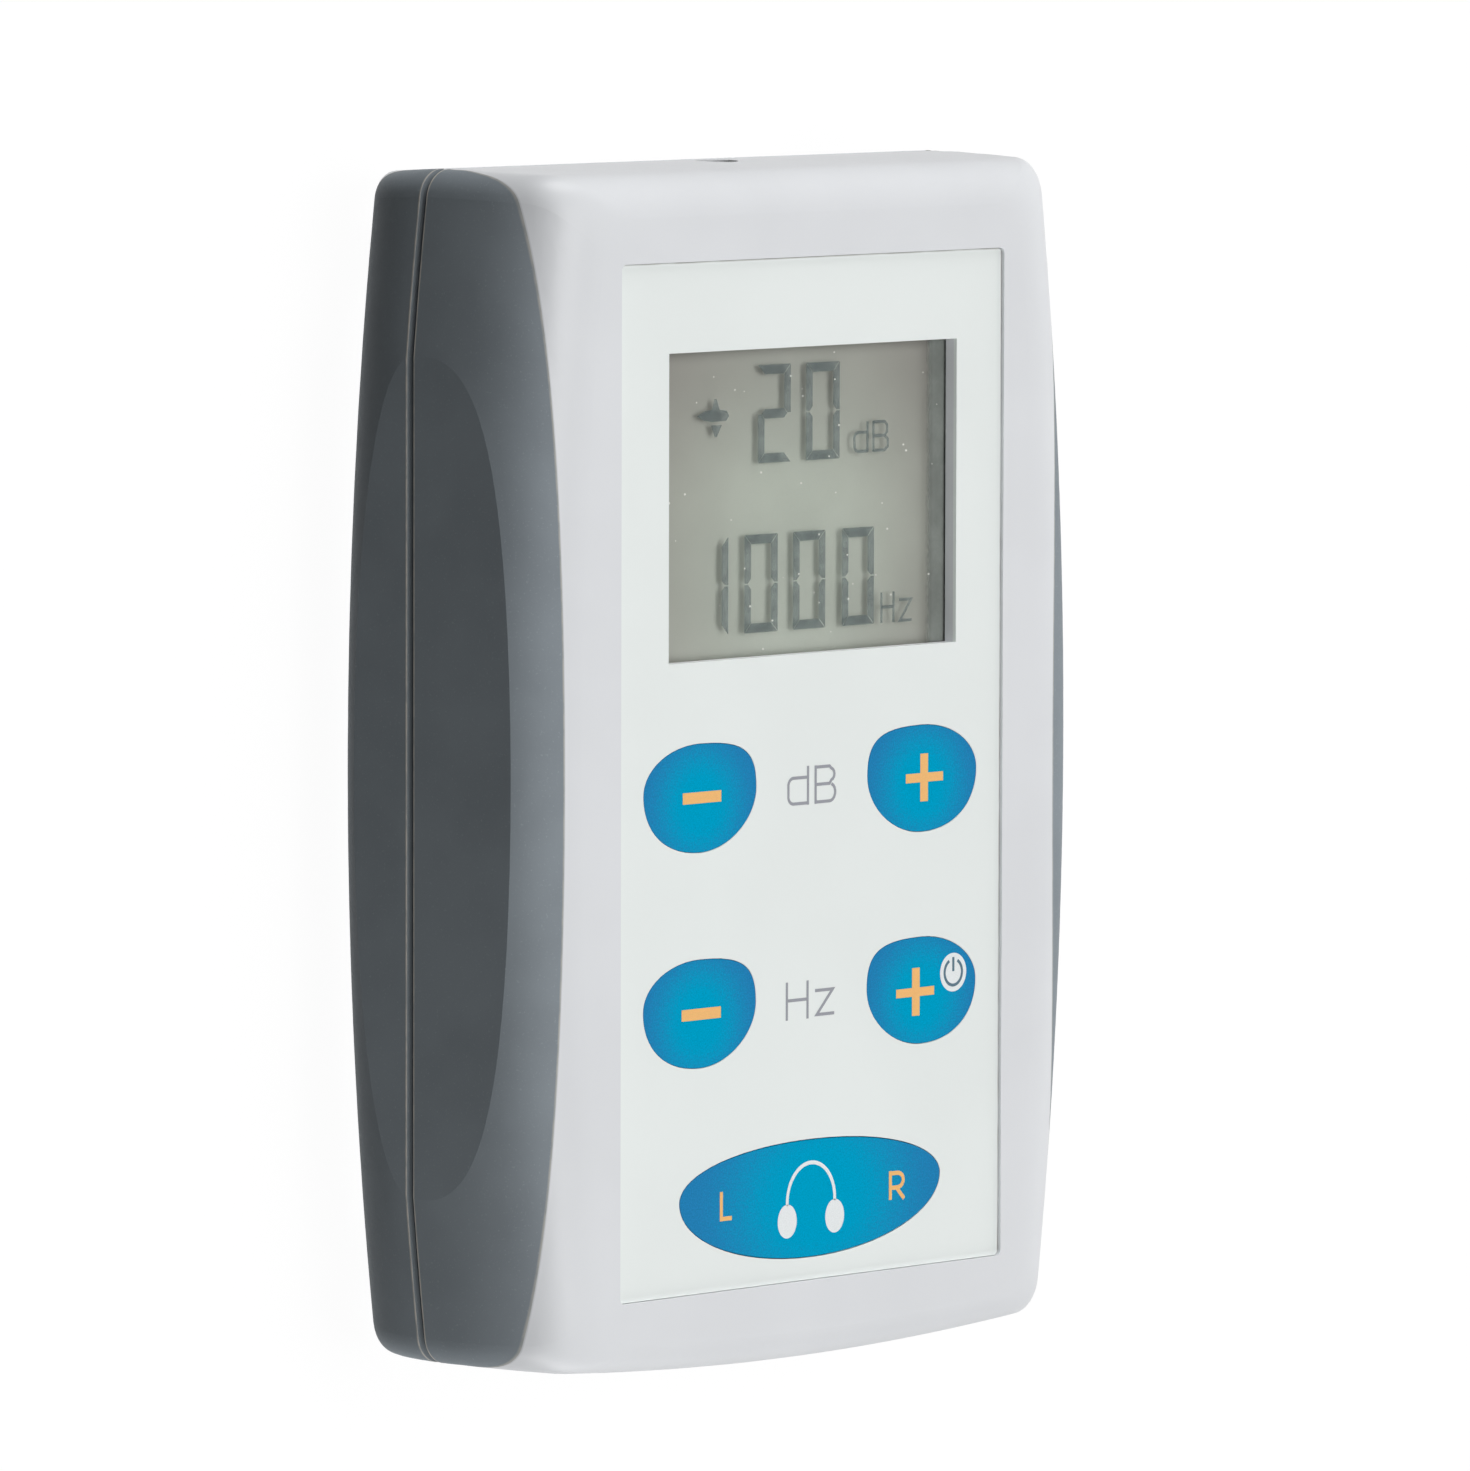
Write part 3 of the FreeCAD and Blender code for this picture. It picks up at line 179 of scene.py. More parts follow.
class Finish:
    """A material with one Principled shader, and short ways to add the nodes that drive it."""

    def __init__(self, name, base, roughness, **settings):
        self.material = bpy.data.materials.new(name)
        self.material.use_nodes = True
        self.tree = self.material.node_tree
        self.shader = self.tree.nodes["Principled BSDF"]
        self.set(self.shader, {"Base Color": base, "Roughness": roughness, **settings})
        place = self.add("ShaderNodeTexCoord")
        scale = self.add("ShaderNodeMapping", Vector=place.outputs["Object"], Scale=(1 / MM,) * 3)
        self.mm = scale.outputs["Vector"]

    def put(self, socket, value):
        """The value is a constant for the input, or another node's output to link to it."""
        if isinstance(value, bpy.types.NodeSocket):
            self.tree.links.new(value, socket)
        else:
            socket.default_value = value

    def set(self, node, values):
        """Several inputs by name."""
        for key, value in values.items():
            self.put(node.inputs[key], value)

    def add(self, kind, how=None, **values):
        """A node with its options in how, and its inputs as values: From_Min is the input From Min."""
        node = self.tree.nodes.new(kind)
        for key, value in (how or {}).items():
            setattr(node, key, value)
        self.set(node, {key.replace("_", " "): value for key, value in values.items()})
        return node

    def sum(self, operation, first, second=0.0, third=0.0):
        """One step of arithmetic."""
        node = self.add("ShaderNodeMath", {"operation": operation})
        for socket, value in zip(node.inputs, (first, second, third)):
            self.put(socket, value)
        return node.outputs[0]

    def ramp(self, value, low, high, start=0.0, end=1.0):
        """start below low, end above high, and a smooth step between them."""
        node = self.add("ShaderNodeMapRange", {"interpolation_type": "SMOOTHSTEP"}, Value=value,
                        From_Min=low, From_Max=high, To_Min=start, To_Max=end)
        return node.outputs["Result"]

    def axes(self):
        """X, Y and Z in millimetres."""
        return self.add("ShaderNodeSeparateXYZ", Vector=self.mm).outputs

    def noise(self, size, detail=2.0, rough=0.5):
        """Noise whose features are about size millimetres across."""
        return self.add("ShaderNodeTexNoise", Vector=self.mm, Scale=1 / size, Detail=detail,
                        Roughness=rough).outputs["Fac"]

    def blend(self, factor, first, second, kind="MIX"):
        """A colour: the first at factor 0, the second at 1, and a blend between them."""
        node = self.add("ShaderNodeMix", {"data_type": "RGBA", "blend_type": kind}, Factor=factor)
        self.put(node.inputs[MIX_FIRST], first)
        self.put(node.inputs[MIX_SECOND], second)
        return node.outputs[MIX_RESULT]

    def clouded(self, noise, base, low, high):
        """A colour made darker and lighter by a noise, between two factors."""
        return self.blend(self.ramp(noise, *NOISE_SPAN), shade(base, low), shade(base, high))

    def mixed(self, factor, first, second):
        """A mix of two shaders: the first at 0, the second at 1."""
        node = self.add("ShaderNodeMixShader")
        for socket, value in zip(node.inputs, (factor, first.outputs[0], second.outputs[0])):
            self.put(socket, value)
        return node

    def surface_from(self, node):
        """Another shader takes the Principled one's place."""
        self.set(self.tree.nodes["Material Output"], {"Surface": node.outputs[0]})

    def link(self, **values):
        """Outputs of other nodes drive the Principled shader's inputs."""
        self.set(self.shader, {key.replace("_", " "): value for key, value in values.items()})

    def roughness_from(self, noise, low, high):
        self.link(Roughness=self.ramp(noise, *NOISE_SPAN, low, high))

    def bump(self, height, depth):
        """Relief of the given depth in millimetres, where height runs from 0 to 1."""
        node = self.add("ShaderNodeBump", Height=height, Distance=depth * MM)
        self.link(Normal=node.outputs["Normal"])


def shade(base, factor):
    """A colour made darker or lighter by a factor."""
    return (*(min(1.0, value * factor) for value in base[:3]), 1.0)


def grip_distance(finish):
    """How far a point lies inside the grips' edge, in millimetres, and below zero on the case.

    It is |X| less the edge's half distance, less the slope times the height above the parting line,
    less Y squared over the bow. Behind the parting line the last term shrinks with the depth.
    """
    x, y, z = finish.axes()
    ahead = finish.sum("MAXIMUM", finish.sum("SUBTRACT", z, PARTING_Z), 0.0)
    behind = finish.sum("MAXIMUM", finish.sum("SUBTRACT", PARTING_Z, z), 0.0)
    share_of_bow = finish.sum("MULTIPLY_ADD", behind, -GRIP_STRAIGHTENS, 1 / GRIP_BOW)
    out = finish.sum("MULTIPLY", finish.sum("MULTIPLY", y, y), share_of_bow)
    edge = finish.sum("ADD", finish.sum("MULTIPLY_ADD", ahead, GRIP_SLOPE, GRIP_EDGE), out)
    return finish.sum("SUBTRACT", finish.sum("ABSOLUTE", x), edge)


def moulded(name, base, roughness, grain=0.35, depth=0.004, mottle=0.03):
    """Moulded plastic: a fine grain in the relief, and a faint cloudiness in colour and gloss."""
    finish = Finish(name, base, roughness)
    cloud = finish.noise(grain * 30, 3.0)
    fine = finish.noise(grain, 3.0, 0.6)
    finish.link(Base_Color=finish.clouded(cloud, base, 1 - mottle, 1 + mottle))
    finish.roughness_from(fine, roughness - GLOSS_SPREAD, roughness + GLOSS_SPREAD)
    finish.bump(fine, depth)
    return finish


def case_plastic(look):
    """Satin case plastic with a fine line of painted shade where it meets the grips."""
    finish = Finish("case_plastic", look.body, look.body_roughness)
    cloud = finish.noise(14.0, 2.0)
    fine = finish.noise(look.grain / MM, 3.0, 0.6)
    base = finish.clouded(cloud, look.body, 0.985, 1.015)
    # Painted shade: the case is darkened in a thin line beside the grips' edge, where the seam between the
    # parts lies in shade.
    seam_shade = finish.ramp(grip_distance(finish), -0.14, -0.02, 0.0, 0.45)
    finish.link(Base_Color=finish.blend(seam_shade, base, shade(look.body, 0.55)))
    finish.roughness_from(fine, look.body_roughness - GLOSS_SPREAD, look.body_roughness + GLOSS_SPREAD)
    finish.bump(fine, 0.003)
    return finish


def soft_grip(look):
    """Soft-touch rubber: a fine speckle, pale dust on its edges, and painted shade in the groove at the
    parting line.
    """
    finish = Finish("soft_grip", look.grip, look.grip_roughness, **{"Specular IOR Level": 0.08})
    grain = look.grain / MM
    fine = finish.noise(grain * 0.8, 3.0, 0.65)
    cloud = finish.noise(9.0, 3.0)
    base = finish.blend(finish.ramp(cloud, 0.25, 0.75), shade(look.grip, 0.94), shade(look.grip, 1.06))
    speck = finish.ramp(finish.noise(grain * 0.7, 1.0), 0.62, 0.8, 0.0, 0.35)
    base = finish.blend(speck, base, shade(look.grip, 1.5))
    rim = finish.ramp(grip_distance(finish), 0.05, 0.24, 0.55, 0.0)
    height = finish.sum("ABSOLUTE", finish.sum("SUBTRACT", finish.axes()[2], PARTING_Z))
    line = finish.sum("MULTIPLY", finish.ramp(height, 0.4, 0.46), finish.ramp(height, 0.54, 0.66, 0.95, 0.0))
    patchy = finish.ramp(finish.noise(1.6, 3.0), 0.3, 0.65, 0.5, 1.0)
    dust = finish.sum("MULTIPLY", finish.sum("MAXIMUM", rim, line), patchy)
    # Painted shade: the rubber is darkened inside the groove at the parting line, where shade falls.
    base = finish.blend(finish.ramp(height, 0.38, 0.46, 0.3, 0.0), base, shade(look.grip, 0.3))
    finish.link(Base_Color=finish.blend(dust, base, look.dust))
    finish.roughness_from(fine, look.grip_roughness - 0.07, look.grip_roughness + 0.07)
    finish.bump(fine, 0.008)
    return finish


def printed_film(look):
    """White polyester film with a fine matt texture, and a brownish edge along its top and sides: adhesive,
    with painted shade of the gap round the film.
    """
    finish = Finish("printed_film", look.film, 0.5)
    fine = finish.noise(0.12, 2.0, 0.6)
    cloud = finish.noise(20.0, 2.0)
    base = finish.clouded(cloud, look.film, 0.985, 1.01)
    x, y = finish.axes()[:2]
    from_top = finish.sum("SUBTRACT", FILM_HALF_LENGTH + FILM_MIDDLE, y)
    from_side = finish.sum("SUBTRACT", FILM_HALF_WIDTH, finish.sum("ABSOLUTE", x))
    # Painted shade and adhesive: the film turns brown within a little of its top and side edges, for the
    # shadow gap round it.
    edge = finish.ramp(finish.sum("MINIMUM", from_top, from_side), 0.03, 0.16, 0.5, 0.0)
    patchy = finish.ramp(finish.noise(5.0, 2.0), 0.35, 0.6, 0.35, 1.0)
    shaded = finish.sum("MULTIPLY", edge, patchy)
    finish.link(Base_Color=finish.blend(shaded, base, colour(120, 108, 96)))
    finish.roughness_from(fine, 0.45, 0.56)
    finish.bump(fine, 0.0015)
    return finish


def key_film(name, look, centre, reach):
    """Blue key print: its colour runs from the middle to the rim, broken up by a fine halftone."""
    finish = Finish("key_film_" + name, look.key_middle, 0.55, **{"Specular IOR Level": 0.0})
    x, y = finish.axes()[:2]
    across = finish.sum("DIVIDE", finish.sum("SUBTRACT", x, centre[0]), reach[0])
    along = finish.sum("DIVIDE", finish.sum("SUBTRACT", y, centre[1]), reach[1])
    squares = finish.sum("ADD", finish.sum("MULTIPLY", across, across),
                         finish.sum("MULTIPLY", along, along))
    from_middle = finish.sum("SQRT", squares)
    dots = finish.add("ShaderNodeTexVoronoi", Vector=finish.mm, Scale=1 / 0.22).outputs["Distance"]
    dither = finish.sum("MULTIPLY_ADD", finish.sum("SUBTRACT", dots, 0.45), 0.35, from_middle)
    base = finish.blend(finish.ramp(dither, 0.3, 1.08), look.key_middle, look.key_rim)
    speck = finish.ramp(finish.noise(0.16, 2.0, 0.7), 0.32, 0.7, 0.87, 1.1)
    finish.link(Base_Color=finish.blend(1.0, base, speck, "MULTIPLY"))
    fine = finish.noise(0.12, 2.0, 0.6)
    finish.roughness_from(fine, 0.5, 0.62)
    finish.bump(fine, 0.0015)
    return finish


def ink(name, base):
    """Screen-printed ink: one colour with a faint unevenness."""
    finish = Finish(name, base, 0.5, **{"Specular IOR Level": 0.1})
    fine = finish.noise(0.1, 2.0, 0.6)
    finish.link(Base_Color=finish.clouded(fine, base, 0.95, 1.04))
    finish.roughness_from(fine, 0.4, 0.52)
    finish.bump(fine, 0.001)
    return finish


def reflector_foil(look):
    """Grey-green display layer: a fine grain, and painted shade that makes it browner and dimmer away from
    its middle.
    """
    finish = Finish("display_reflector", look.reflector, 0.6, **{"Specular IOR Level": 0.2})
    x, y = finish.axes()[:2]
    along = finish.sum("SUBTRACT", y, DISPLAY_MIDDLE)
    squares = finish.sum("ADD", finish.sum("MULTIPLY", x, x), finish.sum("MULTIPLY", along, along))
    # Painted shade: the layer grows browner and dimmer away from its middle, for the shade of the window's
    # edges.
    painted_dimming = finish.ramp(finish.sum("SQRT", squares), 4.0, 33.0, 0.0, 0.62)
    fine = finish.noise(0.14, 2.0, 0.7)
    cloud = finish.noise(9.0, 2.0)
    base = finish.clouded(cloud, look.reflector, 0.96, 1.03)
    base = finish.blend(finish.ramp(fine, *NOISE_SPAN, 0.0, 0.14), base, shade(look.reflector, 0.6))
    finish.link(Base_Color=finish.blend(painted_dimming, base, colour(128, 112, 112)))
    finish.bump(finish.noise(3.0, 2.0), 0.003)
    return finish


def segment_ink(look):
    """Liquid crystal that is dark but lets some of the layer below show, unevenly."""
    finish = Finish("display_segment", look.segment, 0.5, **{"Specular IOR Level": 0.1})
    uneven = finish.noise(1.4, 3.0, 0.6)
    base = finish.blend(finish.ramp(uneven, 0.35, 0.65), shade(look.segment, 0.9), shade(look.segment, 1.15))
    thin = finish.ramp(uneven, 0.35, 0.68, look.density + 0.03, look.density - 0.05)
    finish.link(Base_Color=base, Alpha=thin)
    finish.bump(uneven, 0.001)
    return finish


def painted_shadow_band(look):
    """Painted shadow: a dark, cloudy band on the glass that stands for the shade of the window's right wall,
    whose inner edge fades out.
    """
    finish = Finish("display_seal", look.shadow_band, 0.6, **{"Specular IOR Level": 0.1})
    x = finish.axes()[0]
    fine = finish.noise(0.3, 3.0, 0.7)
    cloud = finish.noise(3.0, 3.0)
    base = finish.clouded(cloud, look.shadow_band, 0.84, 1.06)
    base = finish.blend(finish.ramp(fine, *NOISE_SPAN, 0.0, 0.2), base, shade(look.shadow_band, 0.6))
    inner = finish.sum("MULTIPLY_ADD", finish.noise(1.0, 3.0), 0.4, x)
    finish.link(Base_Color=base, Alpha=finish.ramp(inner, SHADOW_BAND_LEFT + 0.1, SHADOW_BAND_LEFT + 1.4))
    finish.bump(fine, 0.002)
    return finish


def display_glass():
    """Clear glass with a soft sheen: mostly see-through, with a glossy share that grows at an edge."""
    finish = Finish("display_glass", (1, 1, 1, 1), 0.1)
    clear = finish.add("ShaderNodeBsdfTransparent", Color=(0.985, 0.99, 0.98, 1))
    gloss = finish.add("ShaderNodeBsdfAnisotropic", Color=(1, 1, 1, 1), Roughness=0.18)
    sheen = finish.add("ShaderNodeFresnel", IOR=1.3)
    haze = finish.ramp(finish.noise(6.0, 2.0), *NOISE_SPAN, 0.7, 1.0)
    finish.surface_from(finish.mixed(finish.sum("MULTIPLY", sheen.outputs[0], haze), clear, gloss))
    return finish


def metal(name, base, roughness, stretch=(1.0, 1.0, 1.0)):
    """Plated metal with fine drawn marks along its stretched direction."""
    finish = Finish(name, base, roughness, Metallic=1.0)
    drawn = finish.add("ShaderNodeMapping", Vector=finish.mm, Scale=stretch).outputs["Vector"]
    fine = finish.add("ShaderNodeTexNoise", Vector=drawn, Scale=6.0, Detail=4.0).outputs["Fac"]
    finish.link(Base_Color=finish.clouded(fine, base, 0.88, 1.06))
    finish.roughness_from(fine, roughness - 0.08, roughness + 0.1)
    finish.bump(fine, 0.002)
    return finish


def circuit_board():
    """Green solder mask over tracks, with pale pads showing through here and there."""
    finish = Finish("circuit_board", colour(24, 92, 58), 0.35)
    tracks = finish.add("ShaderNodeTexBrick", {"offset": 0.37, "squash": 0.6},
                        Vector=finish.mm, Scale=0.28, Color1=colour(28, 104, 66),
                        Color2=colour(20, 84, 52), Mortar=colour(44, 132, 84))
    finish.set(tracks, {"Mortar Size": 0.05, "Mortar Smooth": 0.2, "Brick Width": 1.4, "Row Height": 0.5})
    pads = finish.add("ShaderNodeTexVoronoi", Vector=finish.mm, Scale=0.4)
    pad = finish.ramp(pads.outputs["Distance"], 0.1, 0.14, 1.0, 0.0)
    fine = finish.noise(0.4, 3.0)
    base = finish.blend(finish.ramp(fine, *NOISE_SPAN, 0.0, 0.25), tracks.outputs["Color"],
                        colour(16, 70, 44))
    finish.link(Base_Color=finish.blend(pad, base, colour(196, 188, 160)))
    finish.roughness_from(fine, 0.28, 0.42)
    finish.bump(tracks.outputs["Fac"], 0.02)
    return finish


def middle_and_half(box):
    """The middle of a box and half its size, in millimetres."""
    low, high = box
    return (low + high) / 2 / MM, (high - low) / 2 / MM


def chip_finish(node):
    """Black moulded resin inside the chip's own outline, and tinned legs outside it."""
    middle, half = middle_and_half(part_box(node))
    leg_y = CHIP_LEG if node == FOUR_SIDED_CHIP else -CHIP_MARGIN
    finish = Finish(node + "_finish", colour(34, 35, 38), 0.55)
    x, y = finish.axes()[:2]
    over_x = finish.sum("SUBTRACT", finish.sum("ABSOLUTE", finish.sum("SUBTRACT", x, middle.x)),
                        half.x - CHIP_LEG)
    over_y = finish.sum("SUBTRACT", finish.sum("ABSOLUTE", finish.sum("SUBTRACT", y, middle.y)),
                        half.y - leg_y)
    leg = finish.ramp(finish.sum("MAXIMUM", over_x, over_y), 0.0, 0.02)
    fine = finish.noise(0.2, 3.0)
    resin = finish.blend(finish.ramp(fine, *NOISE_SPAN), colour(30, 31, 34), colour(44, 45, 48))
    finish.link(Base_Color=finish.blend(leg, resin, colour(196, 198, 200)), Metallic=leg)
    finish.roughness_from(fine, 0.45, 0.6)
    finish.bump(fine, 0.006)
    return finish


def battery_finish():
    """A printed jacket in two tones, with bare steel at both ends."""
    middle, half = middle_and_half(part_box("battery"))
    finish = Finish("battery_jacket", colour(70, 88, 104), 0.35)
    along = finish.sum("SUBTRACT", finish.axes()[1], middle.y)
    steel = finish.ramp(finish.sum("ABSOLUTE", along), half.y - STEEL_END[0], half.y - STEEL_END[1])
    fine = finish.noise(0.5, 3.0)
    jacket = finish.blend(finish.ramp(fine, *NOISE_SPAN), colour(62, 80, 97), colour(76, 95, 111))
    band = finish.ramp(along, half.y * BATTERY_BAND, half.y * BATTERY_BAND + 0.05)
    jacket = finish.blend(band, jacket, colour(196, 170, 96))
    finish.link(Base_Color=finish.blend(steel, jacket, colour(186, 187, 188)), Metallic=steel)
    finish.roughness_from(fine, 0.28, 0.42)
    finish.bump(fine, 0.004)
    return finish


# ---------------------------------------------------------------- shapes

def paint(node, finish):
    """Gives a carried-over node its finish."""
    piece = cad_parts[node]
    if not piece.material_slots:
        piece.data.materials.append(finish.material)
    for slot in piece.material_slots:
        slot.material = finish.material


def joined(parts):
    """Several (points, faces) pairs as one."""
    points, faces, start = [], [], 0
    for part_points, part_faces in parts:
        points.append(part_points)
        faces += [[start + index for index in face] for face in part_faces]
        start += len(part_points)
    return np.vstack(points), faces


def make_piece(name, parts, finish, body):
    """One object from (points, faces) pairs in millimetres, riding on a body."""
    points, faces = joined(parts)
    mesh = bpy.data.meshes.new(name)
    mesh.from_pydata((points * MM).tolist(), [], faces)
    mesh.validate()
    mesh.materials.append(finish.material)
    piece = bpy.data.objects.new(name, mesh)
    bpy.context.scene.collection.objects.link(piece)
    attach(piece, body)
    return piece


def arc(centre, radii, start, end, count):
    """Points on an ellipse: centre + (radius_x cos a, radius_y sin a), a in degrees from start to end."""
    angle = np.radians(np.linspace(start, end, count))
    return np.stack([centre[0] + radii[0] * np.cos(angle), centre[1] + radii[1] * np.sin(angle)], 1)


def ink_section(width):
    """The cross-section of an ink line: flat below, with its upper corners eased."""
    half, ease = width / 2, width * INK_EASE
    return np.array([(half, 0), (half, INK * INK_SHOULDER), (half - ease, INK), (ease - half, INK),
                     (-half, INK * INK_SHOULDER), (-half, 0)])


def carried(path, section, z):
    """A section carried along a flat path, as a grid of path points by section points.

    The side direction at a path point is the mean of its two runs' directions turned a quarter
    right, and the section's first value is stretched by one over the cosine of half the turn, so
    that mitred corners keep their width. Point = path + side * first value, height = z + second.
    """
    path = np.asarray(path, float)
    runs = np.diff(path, axis=0)
    runs /= np.linalg.norm(runs, axis=1, keepdims=True)
    before, after = np.vstack([runs[:1], runs]), np.vstack([runs, runs[-1:]])
    mean = before + after
    mean /= np.linalg.norm(mean, axis=1, keepdims=True)
    stretch = 1 / np.sum(mean * after, axis=1)
    side = np.stack([mean[:, 1], -mean[:, 0]], 1) * stretch[:, None]
    rows, columns = len(path), len(section)
    flat = path[:, None] + side[:, None] * section[None, :, :1]
    height = np.broadcast_to(z + section[None, :, 1:], (rows, columns, 1))
    points = np.concatenate([flat, height], 2).reshape(-1, 3)
    here = np.arange(rows - 1)[:, None] * columns
    there = here + columns
    column = np.arange(columns)[None]
    beside = (column + 1) % columns
    walls = np.stack([here + column, here + beside, there + beside, there + column], 2).reshape(-1, 4)
    ends = [list(range(columns))[::-1], list(range((rows - 1) * columns, rows * columns))]
    return points, walls.tolist() + ends


def plate(outline, z, thick):
    """A flat plate: its outline at height z and again at z + thick, with a wall between them."""
    outline = np.asarray(outline, float)
    x, y = outline.T
    if np.sum(x * np.roll(y, -1) - np.roll(x, -1) * y) < 0:
        outline = outline[::-1]
    count = len(outline)
    low = np.column_stack([outline, np.full(count, z)])
    high = np.column_stack([outline, np.full(count, z + thick)])
    index = np.arange(count)
    beside = (index + 1) % count
    walls = np.stack([index, beside, beside + count, index + count], 1).tolist()
    return np.vstack([low, high]), walls + [index[::-1].tolist(), (index + count).tolist()]


def block(x0, x1, y0, y1):
    """The corners of a rectangle."""
    return [(x0, y0), (x1, y0), (x1, y1), (x0, y1)]


def lines(strokes, width, z):
    """Ink lines of one width along several paths, each a hair above the last."""
    section = ink_section(width)
    return [carried(path, section, z + INK_STEP * place) for place, path in enumerate(strokes)]


def seven_segments(x0, x1, y0, y1, stroke, gap):
    """The seven bars of a digit, with mitred ends, by the usual letters."""
    middle, s, g = (y0 + y1) / 2, stroke, gap / 2
    h = s / 2
    return {
        "a": [(x0 + g, y1), (x1 - g, y1), (x1 - s - g, y1 - s), (x0 + s + g, y1 - s)],
        "d": [(x0 + g, y0), (x0 + s + g, y0 + s), (x1 - s - g, y0 + s), (x1 - g, y0)],
        "g": [(x0 + h + g, middle), (x0 + s + g, middle + h), (x1 - s - g, middle + h),
              (x1 - h - g, middle), (x1 - s - g, middle - h), (x0 + s + g, middle - h)],
        "b": [(x1, y1 - g), (x1, middle + g), (x1 - h, middle + g), (x1 - s, middle + h + g),
              (x1 - s, y1 - s - g)],
        "c": [(x1, y0 + g), (x1 - s, y0 + s + g), (x1 - s, middle - h - g), (x1 - h, middle - g),
              (x1, middle - g)],
        "f": [(x0, y1 - g), (x0 + s, y1 - s - g), (x0 + s, middle + h + g), (x0 + h, middle + g),
              (x0, middle + g)],
        "e": [(x0, y0 + g), (x0, middle - g), (x0 + h, middle - g), (x0 + s, middle - h - g),
              (x0 + s, y0 + s + g)],
    }


DIGITS = {"0": "abcdef", "1": "bc", "2": "abged"}       # the bars that each digit lights
LEGEND_HZ = (((-3.55, -24.9), (-3.55, -21.17)), ((-0.58, -24.9), (-0.58, -21.17)),
             ((-3.55, -22.98), (-0.58, -22.98)),
             ((0.5, -22.25), (3.05, -22.25), (0.75, -24.62), (3.25, -24.62)))
# Left, right, lower and upper edge of each bar of the minus and plus signs
KEY_BARS = {"db_down": [(-18.41, -12.98, -2.86, -1.76)],
            "db_up": [(13.58, 15.69, -2.76, -1.86), (16.80, 19.01, -2.76, -1.86),
                      (15.69, 16.80, -4.67, 0.05)],
            "hz_down": [(-18.51, -12.98, -23.89, -22.78)],
            "hz_up": [(12.27, 14.59, -23.89, -23.03), (15.69, 17.81, -23.89, -23.03),
                      (14.59, 15.69, -25.80, -21.07)]}
# Each digit with its left and right edge, its foot and its head
PLACES = (("2", -5.85, -1.18, 29.50, 39.04), ("0", 1.04, 5.86, 29.50, 39.02),
          ("1", -14.9, -10.03, 13.04, 22.60), ("0", -7.72, -2.99, 13.04, 22.60),
          ("0", -0.77, 3.85, 13.04, 22.60), ("0", 6.27, 10.89, 13.04, 22.60))


def legend_db_strokes():
    """The strokes of the upper legend on the film."""
    d_bowl = np.vstack([[(-0.6, -1.25), (-2.7, -1.25)], arc((-2.7, -2.0), (0.72, 0.75), 100, 170, 5),
                        arc((-2.7, -3.0), (0.72, 0.77), 190, 260, 5), [(-2.7, -3.77), (-0.6, -3.77)]])
    b_top = np.vstack([[(0.5, -2.05), (2.5, -2.05)], arc((2.6, -1.15), (0.6, 0.6), -75, 75, 7),
                       [(2.5, -0.35), (0.5, -0.35)]])
    b_low = np.vstack([arc((2.5, -2.91), (0.82, 0.86), 70, -75, 8), [(2.4, -3.77), (0.5, -3.77)]])
    return [d_bowl, [(-0.6, -3.95), (-0.6, -0.15)], b_top, b_low, [(0.5, -3.94), (0.5, -0.18)]]


def display_bars(stroke, gap):
    """The outlines of the digits' bars and of the two parts of the plus sign."""
    bars = []
    for digit, *edges in PLACES:
        shapes = seven_segments(*edges, stroke, gap)
        bars += [shapes[letter] for letter in DIGITS[digit]]
    upper = [(-14.5, 34.4), (-13.6, 33.98), (-12.4, 33.78), (-10.4, 33.82), (-9.95, 34.3), (-10.3, 34.8),
             (-11.3, 34.93), (-11.75, 35.98), (-12.02, 35.98), (-12.4, 34.95), (-13.4, 34.86)]
    lower = [(-12.5, 33.46), (-12.0, 32.3), (-11.7, 32.3), (-11.0, 33.46)]
    return bars + [upper, lower]


def display_unit_strokes():
    """The strokes of the unit beside each row of digits."""
    d_bowl = np.vstack([[(9.9, 31.9), (8.6, 31.9)], arc((8.6, 31.35), (0.6, 0.55), 100, 170, 4),
                        arc((8.6, 30.6), (0.6, 0.55), 190, 260, 4), [(8.6, 30.05), (9.9, 30.05)]])
    b_top = [(10.75, 31.5), (12.4, 31.5), (12.75, 31.85), (12.75, 32.5), (12.4, 32.85), (10.75, 32.85)]
    b_low = [(12.45, 31.45), (12.85, 31.1), (12.85, 30.4), (12.4, 30.05), (10.75, 30.05)]
    return [d_bowl, [(9.9, 29.95), (9.9, 32.95)], b_top, b_low, [(10.75, 29.95), (10.75, 32.95)],
            [(12.0, 13.04), (12.0, 16.06)], [(13.75, 13.04), (13.75, 16.06)],
            [(12.0, 14.6), (13.75, 14.6)], [(14.6, 15.2), (16.3, 15.2), (14.7, 13.15), (16.4, 13.15)]]


def dust_specks(height):
    """Small oval specks, strewn evenly over the glass from a fixed seed."""
    rng = np.random.default_rng(SPECK_SEED)
    spots = rng.uniform((-SPECK_REACH, WINDOW_LOW + SPECK_MARGIN),
                        (SPECK_REACH, WINDOW_HIGH - SPECK_MARGIN), (SPECKS, 2))
    return [plate(arc(spot, (size, size * 0.8), 0, 300, 6), height, INK)
            for spot, size in zip(spots, rng.uniform(*SPECK_SIZES, SPECKS))]


# ---------------------------------------------------------------- operators

class AUDIOMETER_OT_case(bpy.types.Operator):
    """Finishes the two case halves and the battery door in satin plastic"""
    bl_idname = "audiometer.case"
    bl_label = "Case halves and door"
    bl_options = {"REGISTER", "UNDO"}

    def execute(self, context):
        look = context.scene.audiometer_case
        finish = case_plastic(look)
        for node in ("front_shell", "rear_shell", "battery_door"):
            paint(node, finish)
        return {"FINISHED"}


